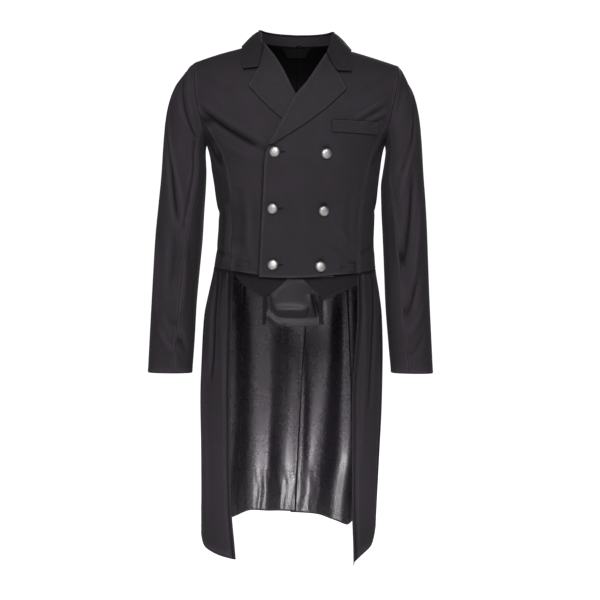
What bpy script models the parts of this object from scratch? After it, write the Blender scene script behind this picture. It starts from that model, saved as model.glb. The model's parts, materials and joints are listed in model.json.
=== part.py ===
"""Dressage tailcoat, men's size 48: double-breasted short front, cutaway tails, worn shape with no wearer.

Metres, +Z up, the coat faces -Y, and +X is the wearer's left. The origin is where the shoulders carry the
coat: on the centre line, level with the neck side of the shoulder seams.

Every panel is a grid of points on one body form, moved out or in along the form's normal to its own layer,
with a second grid one wall further in as its inner face. A place on the form is (turn, height): turn is the
angle round the body from the front centre, positive towards the wearer's left. Seams are lines of places
that two panels share, so their edges run together with SEAM_GAP between them.
"""
import math

import bpy
import numpy as np
from mathutils import Vector

CLOTH = 0.0016            # outer cloth with its interlining
COLLAR_CLOTH = 0.0014     # lapels, collar and pocket welt
LINING = 0.0010           # leatherette tail lining, satin and neck lining
SEAM_GAP = 0.0003         # between two panels at a seam
LAYER_GAP = 0.0005        # between a panel and the lining that follows it
OVERLAY_GAP = 0.0019      # between a panel and a piece laid on it with points of its own
LINING_MARGIN = 0.0030    # between two linings at a seam

FORM_POWER = 0.85         # below 1 squares the body section off a little
CAP_HEIGHT = 0.130        # how far below the shoulder ridge the form reaches its full depth
ARM_POWER = 0.92          # the same squaring for the sleeve sections

ARMHOLE_BOTTOM = -0.2045
ARMHOLE_STEP = 20         # degrees between points round an armhole, for body and sleeve alike
BACK_JUNCTION = 240       # where the side-back seam meets the armhole, degrees from the shoulder
SIDES = {"left": 1, "right": -1}


class Table:
    """Rows of named columns. at() reads one column as a smooth curve over the first column."""

    def __init__(self, names, *rows):
        self.names = names.split()
        self.columns = np.array(rows, dtype=float).T

    def column(self, name):
        return self.columns[self.names.index(name)]

    def at(self, name, place):
        return smooth_curve(self.columns[0], self.column(name), np.asarray(place, dtype=float))


def smooth_curve(knots, values, place):
    """Cubic Hermite pieces through the knots. The slope at a knot is the harmonic mean of its two chords,
    or level where they differ in sign, so the curve never overshoots."""
    steps = np.diff(knots)
    chords = np.diff(values) / steps
    product = chords[:-1] * chords[1:]
    total = np.where(product > 0, chords[:-1] + chords[1:], 1.0)
    slopes = np.concatenate(([chords[0]], np.where(product > 0, 2 * product / total, 0.0), [chords[-1]]))
    place = np.clip(place, knots[0], knots[-1])
    piece = np.clip(np.searchsorted(knots, place, side="right") - 1, 0, len(steps) - 1)
    width = steps[piece]
    t = (place - knots[piece]) / width
    start = values[piece] * (1 + 2 * t) * (1 - t) ** 2 + slopes[piece] * width * t * (1 - t) ** 2
    end = values[piece + 1] * t * t * (3 - 2 * t) + slopes[piece + 1] * width * t * t * (t - 1)
    return start + end


def ramp(value, start, end):
    """0 before start and 1 after end, with a smooth step between; start may be above end."""
    t = np.clip((value - start) / (end - start), 0.0, 1.0)
    return t * t * (3 - 2 * t)


# Body form: half widths of the wearer's right and left, depths before and behind the centre plane.
BODY = Table(
    "height right_half left_half front_depth back_depth",
    (-1.100, 0.2000, 0.1620, 0.100, 0.131),
    (-1.000, 0.2005, 0.1670, 0.102, 0.131),
    (-0.840, 0.2015, 0.1755, 0.107, 0.129),
    (-0.740, 0.2027, 0.1798, 0.110, 0.128),
    (-0.640, 0.1990, 0.1812, 0.112, 0.127),
    (-0.563, 0.1940, 0.1792, 0.112, 0.122),
    (-0.512, 0.1838, 0.1733, 0.110, 0.115),
    (-0.462, 0.1730, 0.1655, 0.108, 0.106),
    (-0.412, 0.1668, 0.1630, 0.107, 0.100),
    (-0.361, 0.1636, 0.1642, 0.110, 0.100),
    (-0.311, 0.1705, 0.1702, 0.117, 0.106),
    (-0.260, 0.1774, 0.1752, 0.123, 0.114),
    (-0.235, 0.1805, 0.1782, 0.125, 0.118),
    (-0.205, 0.1885, 0.1855, 0.127, 0.121),
    (-0.180, 0.2050, 0.2020, 0.126, 0.123),
    (-0.136, 0.2330, 0.2300, 0.124, 0.123),
    (-0.099, 0.2580, 0.2545, 0.119, 0.119),
    (-0.060, 0.2850, 0.2800, 0.112, 0.108),
    (-0.030, 0.2930, 0.2880, 0.106, 0.095),
    (0.000, 0.2980, 0.2930, 0.100, 0.080),
    (0.015, 0.3000, 0.2950, 0.097, 0.074),
    (0.080, 0.3000, 0.2950, 0.090, 0.060),
)

# Shoulder ridge over x. Inside the neck hole it is only a guide for the depth of the form.
RIDGE = Table(
    "x height",
    (-0.300, -0.0620),
    (-0.2109, -0.0305),
    (-0.1586, -0.0135),
    (-0.1107, -0.0005),
    (-0.075, 0.0120),
    (-0.040, 0.0400),
    (0.000, 0.0700),
    (0.040, 0.0360),
    (0.075, 0.0060),
    (0.1115, -0.0075),
    (0.1313, -0.0132),
    (0.1733, -0.0262),
    (0.2118, -0.0385),
    (0.300, -0.0680),
)

# Soft folds of the tails: where round the body, half width in degrees, how far out at the hem, where it starts.
TAIL_FOLDS = Table(
    "turn width depth start",
    (66, 9, 0.0030, -0.62),
    (96, 10, -0.0040, -0.56),
    (117, 7, 0.0045, -0.60),
    (134, 6, -0.0035, -0.66),
    (149, 5, 0.0060, -0.58),
    (159, 4, -0.0045, -0.66),
    (168, 4, 0.0045, -0.60),
    (177, 4, -0.0025, -0.70),
    (187, 4, 0.0040, -0.62),
    (195, 4, -0.0040, -0.58),
    (204, 5, 0.0060, -0.56),
    (219, 7, -0.0060, -0.60),
    (241, 7, 0.0045, -0.64),
    (263, 9, -0.0035, -0.58),
    (292, 9, 0.0030, -0.62),
)
FOLD_FULL = -1.0          # height where the tail folds reach their full depth

# The armhole stands this far outside the underarm point, over height.
ARMHOLE = Table(
    "height right_out left_out",
    (-0.2045, 0.0000, 0.0000),
    (-0.180, 0.0035, 0.0030),
    (-0.136, 0.0133, 0.0110),
    (-0.099, 0.0188, 0.0195),
    (-0.045, 0.0222, 0.0260),
    (-0.025, 0.0222, 0.0260),
)

# Seams and edges give x on the wearer's own side of the centre line: negative lies past the centre.
PRINCESS = Table(
    "height right left",
    (-0.474, 0.1353, 0.1304),
    (-0.424, 0.1345, 0.1299),
    (-0.388, 0.1319, 0.1305),
    (-0.352, 0.1327, 0.1330),
    (-0.316, 0.1363, 0.1380),
    (-0.272, 0.1430, 0.1465),
    (-0.239, 0.1510, 0.1545),
    (-0.210, 0.1625, 0.1650),
    (-0.181, 0.1780, 0.1800),
    (-0.140, 0.2005, 0.2000),
)
SIDE_BACK = Table(
    "height right left",
    (-1.020, 0.1320, 0.1200),
    (-0.800, 0.1270, 0.1200),
    (-0.600, 0.1190, 0.1150),
    (-0.455, 0.1120, 0.1100),
    (-0.400, 0.1150, 0.1130),
    (-0.330, 0.1270, 0.1260),
    (-0.260, 0.1470, 0.1450),
    (-0.200, 0.1730, 0.1700),
    (-0.160, 0.1980, 0.1950),
)
FRONT_EDGE = Table(
    "height reach",
    (-0.4834, 0.0755),
    (-0.4327, 0.0735),
    (-0.3707, 0.0705),
    (-0.3087, 0.0672),
    (-0.2530, 0.0642),
    (-0.2281, 0.0601),
    (-0.2157, 0.0514),
)
ROLL = Table(
    "height right left",
    (-0.2157, -0.0514, -0.0514),
    (-0.1663, -0.0259, -0.0259),
    (-0.1192, 0.0000, 0.0000),
    (-0.0976, 0.0112, 0.0175),
    (-0.0650, 0.0270, 0.0385),
    (-0.0345, 0.0447, 0.0560),
    (-0.0050, 0.0640, 0.0705),
    (0.0120, 0.0735, 0.0735),
)
CROSSING = -0.1192        # where the two roll lines cross, on the centre line
FRONT_HEM = Table(
    "x right left",
    (-0.0755, -0.4834, -0.4834),
    (-0.0200, -0.4845, -0.4856),
    (0.0300, -0.4830, -0.4843),
    (0.0767, -0.4785, -0.4796),
    (0.1360, -0.4692, -0.4742),
)
WAIST_SEAM = Table(
    "turn right left",
    (38, -0.4700, -0.4752),
    (60, -0.4655, -0.4700),
    (90, -0.4560, -0.4625),
    (120, -0.4560, -0.4600),
    (180, -0.4560, -0.4560),
)
TAIL_EDGE = Table(        # front edge of the tail strips
    "height right left",
    (-1.090, 0.1215, 0.1178),
    (-1.030, 0.1265, 0.1165),
    (-0.960, 0.1325, 0.1140),
    (-0.840, 0.1352, 0.1134),
    (-0.735, 0.1352, 0.1134),
    (-0.640, 0.1335, 0.1192),
    (-0.550, 0.1310, 0.1248),
    (-0.468, 0.1293, 0.1236),
)
TAIL_HEM = Table(
    "turn right left",
    (36, -1.0590, -1.0780),
    (50, -1.0530, -1.0560),
    (65, -1.0420, -1.0370),
    (80, -1.0240, -1.0080),
    (95, -1.0090, -0.9900),
    (112, -1.0030, -0.9850),
    (130, -1.0010, -1.0000),
    (143, -0.9960, -1.0180),
    (155, -0.9880, -1.0080),
    (168, -0.9910, -0.9990),
    (186, -0.9950, -0.9950),
)
# The centre-back vent: x of the wearer's right tail, which lies inside, and of the left one, outside.
WAIST_BACK = -0.456
VENT_TOP = -0.510
VENT = Table(
    "height inside_edge outside_edge",
    (-1.020, -0.0025, -0.0140),
    (-0.900, 0.0028, -0.0110),
    (-0.814, 0.0067, -0.0080),
    (-0.656, 0.0150, -0.0030),
    (-0.590, 0.0200, -0.0010),
    (-0.520, 0.0205, 0.0000),
)
VENT_DROP = 0.0036        # how far the inside tail lies under the outside one
BLADES = -0.150           # height on the centre back level with where the armholes' lower halves end
NECK_BACK = 0.012         # height of the neck seam at the centre back
NECK_SIDE = 0.0735        # x of the neck side of the shoulder seams

# Lapel corners on the wearer's own side. The gorge is the seam with the collar, from its top on the roll
# line down to the notch, and belly is how far the lower edge bows out from straight.
LAPELS = {
    "left": {"gorge": (0.0590, -0.0290), "notch": (0.0817, -0.0656), "tip": (0.1006, -0.1028), "belly": 0.0075},
    "right": {"gorge": (0.0640, -0.0050), "notch": (0.0766, -0.0583), "tip": (0.0956, -0.0965), "belly": 0.0085},
}
ROLL_RADIUS = 0.0022      # how far the folded edge stands past the roll line
ROLL_RISE = 0.0024        # extra height of the cloth just beside the roll line
FOLDED_LIFT = 0.0012      # height of the folded edge itself, past the front's own edge
GORGE_RISE = 0.0010       # extra height of lapel and collar towards the neck, where the front is hollow
COLLAR_RIBS = Table(      # fold line and outer edge of the collar from its front end (0) to the centre back (8)
    "rib fold_x fold_y fold_z edge_x edge_z edge_face",
    (1, 0.0668, -0.0625, -0.0130, 0.1103, -0.0440, -1),
    (2, 0.0722, -0.0450, 0.0010, 0.1100, -0.0240, -1),
    (3, 0.0750, -0.0240, 0.0170, 0.1108, -0.0130, -1),
    (4, 0.0760, -0.0030, 0.0300, 0.1115, -0.0060, 0),
    (5, 0.0725, 0.0220, 0.0345, 0.1060, -0.0130, 1),
    (6, 0.0570, 0.0440, 0.0350, 0.0850, -0.0150, 1),
    (7, 0.0310, 0.0570, 0.0352, 0.0480, -0.0150, 1),
    (8, 0.0000, 0.0615, 0.0355, 0.0000, -0.0145, 1),
)
COLLAR_CORNERS = {"left": (0.1107, -0.0656), "right": (0.1067, -0.0609)}
COLLAR_TILT = 0.0035      # the wearer's right shoulder is this much higher
COLLAR_LIFT = COLLAR_CLOTH + OVERLAY_GAP + GORGE_RISE   # outer face of the collar over the form
COLLAR_BULGE = 0.0035     # soft roll of the collar between fold and edge

# Sleeve sections from the armhole (0) to the cuff: outermost and innermost points, middle and half depth.
# keep is how much of the armhole's own outline a section still has.
SLEEVE = Table(
    "ring keep right_out right_out_z left_out left_out_z right_in left_in in_z middle_y half_depth",
    (0, 1.00, 0.2113, -0.0305, 0.2122, -0.0385, 0.1889, 0.1860, -0.2045, 0.000, 0.0730),
    (1, 0.80, 0.2250, -0.0395, 0.2215, -0.0478, 0.1896, 0.1866, -0.2080, 0.000, 0.0728),
    (2, 0.55, 0.2400, -0.0590, 0.2312, -0.0655, 0.1902, 0.1870, -0.2125, 0.000, 0.0724),
    (3, 0.30, 0.2560, -0.0860, 0.2418, -0.0868, 0.1906, 0.1872, -0.2185, 0.000, 0.0715),
    (4, 0.10, 0.2670, -0.1150, 0.2502, -0.1130, 0.1906, 0.1864, -0.2270, 0.000, 0.0702),
    (5, 0.00, 0.2748, -0.1540, 0.2582, -0.1530, 0.1900, 0.1846, -0.2400, 0.001, 0.0686),
    (6, 0.00, 0.2795, -0.2030, 0.2630, -0.2030, 0.1893, 0.1815, -0.2600, 0.003, 0.0668),
    (7, 0.00, 0.2838, -0.2650, 0.2668, -0.2650, 0.1905, 0.1775, -0.2920, 0.005, 0.0648),
    (8, 0.00, 0.2902, -0.3300, 0.2716, -0.3300, 0.1938, 0.1785, -0.3400, 0.006, 0.0625),
    (9, 0.00, 0.2965, -0.3950, 0.2748, -0.3950, 0.1970, 0.1812, -0.3970, 0.005, 0.0598),
    (10, 0.00, 0.3003, -0.4650, 0.2768, -0.4650, 0.2030, 0.1837, -0.4650, 0.000, 0.0568),
    (11, 0.00, 0.3034, -0.5380, 0.2788, -0.5380, 0.2090, 0.1860, -0.5380, -0.009, 0.0535),
    (12, 0.00, 0.3062, -0.6100, 0.2812, -0.6100, 0.2122, 0.1908, -0.6100, -0.020, 0.0500),
    (13, 0.00, 0.3085, -0.6790, 0.2835, -0.6810, 0.2165, 0.1965, -0.6800, -0.032, 0.0462),
)
SLEEVE_FRONT_SEAM = Table("ring turn", (0, 120), (3, 132), (6, 132), (9, 112), (13, 100))
SLEEVE_BACK_SEAM = Table("ring turn", (0, 240), (6, 240), (9, 246), (13, 250))

WELT = {"inner": 0.0714, "outer": 0.1650, "top": -0.1665, "bottom": -0.1908, "lift": 0.0038}
POINT_TOP = -0.4400       # hidden upper edge of the waistcoat points
WAISTCOAT_POINTS = {      # lower edge of each point: x, height
    "right": ((0.1290, -0.4760), (0.1020, -0.5050), (0.0648, -0.5250), (0.0420, -0.5065), (0.0120, -0.4805)),
    "left": ((0.1270, -0.4980), (0.1000, -0.5100), (0.0565, -0.5306), (0.0400, -0.5140), (0.0080, -0.4805)),
}
POINT_CLOTH = 0.0012
POINT_LAYER = -0.0027
TAB_LAYER = -0.0050
TAB = {"right": 0.0615, "left": 0.0470, "top": -0.4600, "bottom": -0.5830, "elastic": 0.0078, "gather": -0.5000}

BUTTON_RADIUS = 0.0105
BUTTON_HEIGHT = 0.0052
SHANK_RADIUS = 0.0030
SHANK_HEIGHT = 0.0014
SHANK_GAP = 0.0005        # over the facet at its middle, so that its edge stays about SEAM_GAP clear
BUTTON_STEPS = 16
BUTTONS = {               # x and height of each button on the left front
    "top_outer": (-0.0429, -0.2307),
    "middle_outer": (-0.0476, -0.3440),
    "bottom_outer": (-0.0472, -0.4583),
    "top_inner": (0.0592, -0.2345),
    "middle_inner": (0.0548, -0.3490),
    "bottom_inner": (0.0485, -0.4619),
}
LABEL = {"top": 0.0100, "bottom": -0.0065, "top_half": 0.0325, "bottom_half": 0.0185, "layer": -0.0046,
         "wall": 0.0008}
LOOP = {"x": 0.0065, "y": 0.0572, "z": 0.0110, "half": 0.0080, "rise": 0.0070, "width": 0.0024, "wall": 0.0010}

FINISHES = {              # colour, roughness, metallic
    "outer_cloth": ((0.042, 0.038, 0.043), 0.82, 0.0),
    "collar_cloth": ((0.036, 0.033, 0.037), 0.80, 0.0),
    "leatherette": ((0.022, 0.020, 0.023), 0.38, 0.0),
    "satin": ((0.040, 0.037, 0.041), 0.34, 0.0),
    "neck_lining": ((0.020, 0.018, 0.020), 0.60, 0.0),
    "elastic": ((0.016, 0.015, 0.017), 0.70, 0.0),
    "label_cloth": ((0.014, 0.014, 0.015), 0.60, 0.0),
    "button_metal": ((0.55, 0.54, 0.53), 0.34, 1.0),
}


def start_scene():
    """Empty the scene and make the coat's collection."""
    for item in list(bpy.data.objects):
        bpy.data.objects.remove(item, do_unlink=True)
    coat = bpy.data.collections.new("dressage_tailcoat")
    bpy.context.scene.collection.children.link(coat)
    return coat


def make_material(name, finish):
    colour, roughness, metallic = FINISHES[finish]
    material = bpy.data.materials.new(f"{name}_{finish}")
    material.use_nodes = True
    shader = material.node_tree.nodes["Principled BSDF"]
    shader.inputs["Base Color"].default_value = (*colour, 1.0)
    shader.inputs["Roughness"].default_value = roughness
    shader.inputs["Metallic"].default_value = metallic
    return material


# ---------------------------------------------------------------- the body form

def half_width(x_sign, height):
    return np.where(x_sign >= 0, BODY.at("left_half", height), BODY.at("right_half", height))


def form_point(turn, height):
    """Place on the body form: a squared-off oval section whose depth rolls to nothing at the shoulder ridge,
    as a quarter circle over CAP_HEIGHT."""
    sine, cosine = np.sin(turn), np.cos(turn)
    depth = np.where(cosine >= 0, BODY.at("front_depth", height), BODY.at("back_depth", height))
    x = half_width(sine, height) * np.sign(sine) * np.abs(sine) ** FORM_POWER
    rise = np.clip((RIDGE.at("height", x) - height) / CAP_HEIGHT, 0.0, 1.0)
    y = -depth * np.sign(cosine) * np.abs(cosine) ** FORM_POWER * np.sqrt(1 - (1 - rise) ** 2)
    return np.stack(np.broadcast_arrays(x, y, height), axis=-1)


def form_normal(turn, height):
    """Outward unit normal, from small steps along and up the form. On the shoulder ridge front and back
    share one normal, so their walls meet there."""
    step = 1e-3
    across = form_point(turn + step, height) - form_point(turn - step, height)
    up = form_point(turn, height + step) - form_point(turn, height - step)
    normal = np.cross(across, up)
    on_ridge = np.abs(form_point(turn, height)[..., 1]) < 1e-4
    normal[..., 1] = np.where(on_ridge, 0.0, normal[..., 1])
    return normal / np.linalg.norm(normal, axis=-1, keepdims=True)


def tail_folds(turn, height):
    """Sum of bell-shaped folds, each growing from its start down to FOLD_FULL."""
    degrees = np.degrees(turn) % 360
    folds = zip(*(TAIL_FOLDS.column(name) for name in TAIL_FOLDS.names))
    return sum(depth * np.exp(-((degrees - place) / width) ** 2) * ramp(height, start, FOLD_FULL)
               for place, width, depth, start in folds)


def shell_point(turn, height, layer):
    """Place on the form, moved out by a layer height and by the tail folds."""
    turn, height = np.broadcast_arrays(np.asarray(turn, float), np.asarray(height, float))
    out = layer + tail_folds(turn, height)
    return form_point(turn, height) + form_normal(turn, height) * np.asarray(out)[..., None]


def shell_faces(turn, height, layer, wall):
    """Outer and inner grids of a piece that lies on the form."""
    return shell_point(turn, height, layer), shell_point(turn, height, layer - wall)


def turn_of(x, height, face):
    """Turn of the place at x on the front (face -1) or the back (face 1)."""
    share = np.clip(np.abs(x) / half_width(x, height), 0.0, 1.0) ** (1 / FORM_POWER)
    angle = np.sign(x) * np.arcsin(share)
    return angle if face < 0 else math.pi - angle


def armhole_places(side, angles):
    """x on the wearer's own side and height of armhole points: angle 0 at the shoulder, 90 in front."""
    name = f"{side}_out"
    bottom_x = half_width(SIDES[side], ARMHOLE_BOTTOM)
    top_x = bottom_x + ARMHOLE.column(name)[-1]
    top = RIDGE.at("height", SIDES[side] * top_x)
    cosine = np.cos(np.radians(angles))
    height = (top + ARMHOLE_BOTTOM) / 2 + (top - ARMHOLE_BOTTOM) / 2 * cosine
    x = bottom_x + ARMHOLE.at(name, height)
    return x, height


def armhole_turns(side, angles):
    """Turn and height of armhole points, front and back; the turn is signed by side."""
    x, height = armhole_places(side, angles)
    sign = SIDES[side]
    front = turn_of(sign * x, height, -1)
    is_back = np.asarray(angles) > 180
    return np.where(is_back, sign * math.pi - front, front), height


# ---------------------------------------------------------------- grids and cloth

def polyline_shares(points):
    lengths = np.linalg.norm(np.diff(points, axis=0), axis=1)
    travelled = np.concatenate(([0.0], np.cumsum(lengths)))
    return travelled / travelled[-1]


def fill_between(left, right, bottom, top):
    """Grid of places between four edges: the two ruled surfaces less the one through the corners.
    Rows follow left and right, columns follow bottom and top."""
    v = ((polyline_shares(left) + polyline_shares(right)) / 2)[:, None, None]
    u = ((polyline_shares(bottom) + polyline_shares(top)) / 2)[None, :, None]
    across = (1 - u) * left[:, None] + u * right[:, None]
    along = (1 - v) * bottom[None] + v * top[None]
    corners = ((1 - u) * (1 - v) * bottom[0] + u * (1 - v) * bottom[-1]
               + (1 - u) * v * top[0] + u * v * top[-1])
    return across + along - corners


def pull_in(points, gap):
    """Move the outer rows and columns of a grid towards their neighbours by half the gap."""
    points = points.copy()
    for lines in (points, points[::-1], points.swapaxes(0, 1), points.swapaxes(0, 1)[::-1]):
        inward = lines[1] - lines[0]
        lines[0] += inward / np.linalg.norm(inward, axis=-1, keepdims=True) * gap / 2
    return points


def grid_quads(index):
    return np.stack((index[:-1, :-1], index[:-1, 1:], index[1:, 1:], index[1:, :-1]), axis=-1).reshape(-1, 4)


def turned_over(quads):
    """The same quads facing the other way, still split along the same diagonal."""
    return quads[:, [0, 3, 2, 1]]


def add_cloth(coat, name, outer, inner, finish, flip=False, gap=SEAM_GAP):
    """A panel: its outer and inner faces are grids of points, drawn in for the seams and closed round the rim."""
    points = np.concatenate((pull_in(outer, gap).reshape(-1, 3), pull_in(inner, gap).reshape(-1, 3)))
    index = np.arange(len(points)).reshape(2, *outer.shape[:2])
    rim = np.concatenate((index[:, 0, :-1], index[:, :-1, -1], index[:, -1, :0:-1], index[:, :0:-1, 0]), axis=1)
    onward = np.roll(rim, -1, axis=1)
    sides = np.stack((onward[0], rim[0], rim[1], onward[1]), axis=-1)
    half = len(sides) // 2    # opposite sides split along like diagonals, so rims run parallel at a seam
    sides[half:] = np.roll(sides[half:], -1, axis=1)
    faces = np.concatenate((grid_quads(index[0]), turned_over(grid_quads(index[1])), sides))
    if flip:
        faces = turned_over(faces)
    mesh = bpy.data.meshes.new(name)
    mesh.from_pydata(points.tolist(), [], faces.tolist())
    mesh.update()
    mesh.materials.append(make_material(name, finish))
    coat.objects.link(bpy.data.objects.new(name, mesh))


def grid_inside(points, wall):
    """The grid moved in by the wall, along normals taken from its own rows and columns."""
    normal = np.cross(np.gradient(points, axis=1), np.gradient(points, axis=0))
    normal /= np.linalg.norm(normal, axis=-1, keepdims=True)
    return points - normal * wall


def rows_between(start, end, count):
    """count steps from start to end, without the last value."""
    return np.linspace(start, end, count, endpoint=False)


# ---------------------------------------------------------------- fronts

FRONT_JUNCTION = {"left": 120, "right": 100}    # where the princess seam meets the armhole, degrees
TAIL_STEPS = 7            # rows from the tail hem to the waist seam
BODY_STEPS = 7            # rows from the waist seam to the armhole
EDGE_STEPS = 5            # of those in front, the rows up to the top button
SHOULDER_COLUMNS = 9      # columns that meet along the shoulder seam, front and back


LAP_OVER_CLOTH = 0.0028
LAP_OVER_LAPEL = 0.0043


def lap(x, height):
    """How far the left front stands off the form: over the right front it clears one layer of cloth, and
    beside the right lapel two more."""
    low = height < FRONT_EDGE.column("height")[-1]
    reach = np.where(low, FRONT_EDGE.at("reach", height), -ROLL.at("right", height))
    over_front = ramp(x, reach + 0.080, reach + 0.014)
    over_lapel = ramp(height, -0.275, -0.225)
    fade = ramp(height, -0.070, -0.105)
    return over_front * fade * (LAP_OVER_CLOTH + LAP_OVER_LAPEL * over_lapel)


def front_layer(side, x, height):
    return lap(x, height) if side == "left" else np.zeros_like(x)


def princess_places(side):
    """x and height of the rows where the front meets the side body, from the hem up to the armhole."""
    x_top, top = armhole_places(side, FRONT_JUNCTION[side])
    heights = np.linspace(FRONT_HEM.column(side)[-1], float(top), BODY_STEPS + 1)
    x = PRINCESS.at(side, heights)
    fit = (heights - heights[0]) / (heights[-1] - heights[0])
    return np.stack((x + (float(x_top) - x[-1]) * fit ** 6, heights), axis=-1)


def front_places(side):
    """Grid of x on the wearer's own side and height, from the hem up and from the front edge outwards."""
    angles = np.arange(FRONT_JUNCTION[side], -1, -ARMHOLE_STEP)
    arm_x, arm_height = armhole_places(side, angles[1:])
    right = np.concatenate((princess_places(side), np.stack((arm_x, arm_height), axis=-1)))
    edge_heights = rows_between(FRONT_EDGE.column("height")[0], FRONT_EDGE.column("height")[-1], EDGE_STEPS)
    edge = np.stack((-FRONT_EDGE.at("reach", edge_heights), edge_heights), axis=-1)
    neck = float(RIDGE.at("height", SIDES[side] * NECK_SIDE))
    roll_heights = np.concatenate((rows_between(ROLL.column("height")[0], CROSSING, BODY_STEPS - EDGE_STEPS),
                                   np.linspace(CROSSING, neck, len(angles))))
    roll_x = ROLL.at(side, roll_heights)
    roll_x[-1] = NECK_SIDE
    roll = np.stack((roll_x, roll_heights), axis=-1)
    left = np.concatenate((edge, roll))
    share = np.linspace(0, 1, SHOULDER_COLUMNS + 1)
    hem_x = left[0, 0] + (right[0, 0] - left[0, 0]) * share
    bottom = np.stack((hem_x, FRONT_HEM.at(side, hem_x)), axis=-1)
    shoulder_x = NECK_SIDE + (right[-1, 0] - NECK_SIDE) * share
    top = np.stack((shoulder_x, RIDGE.at("height", SIDES[side] * shoulder_x)), axis=-1)
    return fill_between(left, right, bottom, top)


def on_front(side, x, height, layer, wall):
    """Outer and inner grids of a piece on the front, for x on the wearer's own side."""
    world_x = SIDES[side] * np.asarray(x, float)
    return shell_faces(turn_of(world_x, height, -1), height, layer, wall)


def add_fronts(coat):
    for side in SIDES:
        x, height = np.moveaxis(front_places(side), -1, 0)
        faces = on_front(side, x, height, front_layer(side, x, height), CLOTH)
        add_cloth(coat, f"front_{side}", *faces, "outer_cloth", flip=side == "right")


def add_side_bodies(coat):
    """The panel under each arm, from the princess seam to the side-back seam and down to the waist seam."""
    for side, sign in SIDES.items():
        front = princess_places(side)
        angles = np.arange(FRONT_JUNCTION[side], BACK_JUNCTION + 1, ARMHOLE_STEP)
        top = np.stack(armhole_turns(side, angles), axis=-1)
        left = np.stack((turn_of(sign * front[:, 0], front[:, 1], -1), front[:, 1]), axis=-1)
        bottom = waist_places(side)
        back_heights = np.linspace(bottom[-1, 1], top[-1, 1], len(left))
        right = np.stack((side_back_turn(side, back_heights), back_heights), axis=-1)
        right[-1] = top[-1]
        turn, height = np.moveaxis(fill_between(left, right, bottom, top), -1, 0)
        add_cloth(coat, f"side_body_{side}", *shell_faces(turn, height, 0.0, CLOTH), "outer_cloth",
                  flip=side == "right")


def waist_places(side):
    """Turn and height of the waist seam's points, from the princess seam round to the side-back seam."""
    x, height = princess_places(side)[0]
    count = (BACK_JUNCTION - FRONT_JUNCTION[side]) // ARMHOLE_STEP + 1
    first = turn_of(SIDES[side] * x, height, -1)
    last_height = WAIST_SEAM.at(side, 130)
    turns = np.linspace(first, float(side_back_turn(side, last_height)), count)
    heights = WAIST_SEAM.at(side, np.degrees(np.abs(turns)))
    heights[0], heights[-1] = height, last_height
    return np.stack((turns, heights), axis=-1)


def side_back_turn(side, heights):
    """Turn of the side-back seam, signed by side."""
    arm_x, arm_height = armhole_places(side, BACK_JUNCTION)
    x = SIDE_BACK.at(side, heights)
    near_top = ramp(heights, -0.230, float(arm_height)) ** 2
    x = x + (float(arm_x) - SIDE_BACK.at(side, float(arm_height))) * near_top
    share = np.clip(x / half_width(SIDES[side], heights), 0, 1) ** (1 / FORM_POWER)
    return SIDES[side] * (math.pi - np.arcsin(share))


# ---------------------------------------------------------------- backs and tails

NECK_COLUMNS = 3
BACK_COLUMNS = NECK_COLUMNS + SHOULDER_COLUMNS


def centre_back_x(side, heights):
    """World x of a back panel's centre edge: the centre seam, and below VENT_TOP the vent's edge."""
    column = "outside_edge" if side == "left" else "inside_edge"
    return np.where(heights < VENT_TOP - 0.001, VENT.at(column, heights), 0.0)


def back_layer(side, turn, height):
    """The wearer's right tail goes inside the left one beside the vent."""
    x = form_point(turn, height)[..., 0]
    inside = ramp(height, WAIST_BACK, VENT_TOP) * ramp(x, -0.055, -0.022)
    return -VENT_DROP * inside if side == "right" else np.zeros_like(x)


def back_places(side):
    """Grid of (turn, height), turn measured on from the left side round the back, from the hem up."""
    sign = SIDES[side]
    hem_side = TAIL_HEM.at(side, np.degrees(abs(float(side_back_turn(side, -1.0)))))
    waist_side = WAIST_SEAM.at(side, 130)
    angles = np.arange(BACK_JUNCTION, 361, ARMHOLE_STEP)
    arm_turn, arm_height = armhole_turns(side, angles)
    seam_heights = np.concatenate((rows_between(hem_side, waist_side, TAIL_STEPS),
                                   rows_between(waist_side, arm_height[0], BODY_STEPS)))
    seam_turn = side_back_turn(side, seam_heights)
    outer = np.concatenate((np.stack((seam_turn, seam_heights), axis=-1),
                            np.stack((arm_turn, arm_height), axis=-1)))
    hem_centre = TAIL_HEM.at(side, 180)
    centre_heights = np.concatenate((rows_between(hem_centre, VENT_TOP, TAIL_STEPS - 1), [VENT_TOP],
                                     rows_between(WAIST_BACK, BLADES, BODY_STEPS),
                                     np.linspace(BLADES, NECK_BACK, len(angles))))
    centre_x = centre_back_x(side, centre_heights)
    centre_turn = math.pi - np.sign(centre_x) * np.arcsin(
        (np.abs(centre_x) / half_width(centre_x, centre_heights)) ** (1 / FORM_POWER))
    centre_turn = centre_turn if sign > 0 else centre_turn - 2 * math.pi
    centre = np.stack((centre_turn, centre_heights), axis=-1)
    hem_turns = np.linspace(centre[0, 0], outer[0, 0], BACK_COLUMNS + 1)
    hem = np.stack((hem_turns, TAIL_HEM.at(side, np.degrees(np.abs(hem_turns)))), axis=-1)
    hem[0], hem[-1] = centre[0], outer[0]
    top = back_top_places(side, centre[-1], outer[-1])
    return fill_between(centre, outer, hem, top)


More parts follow.
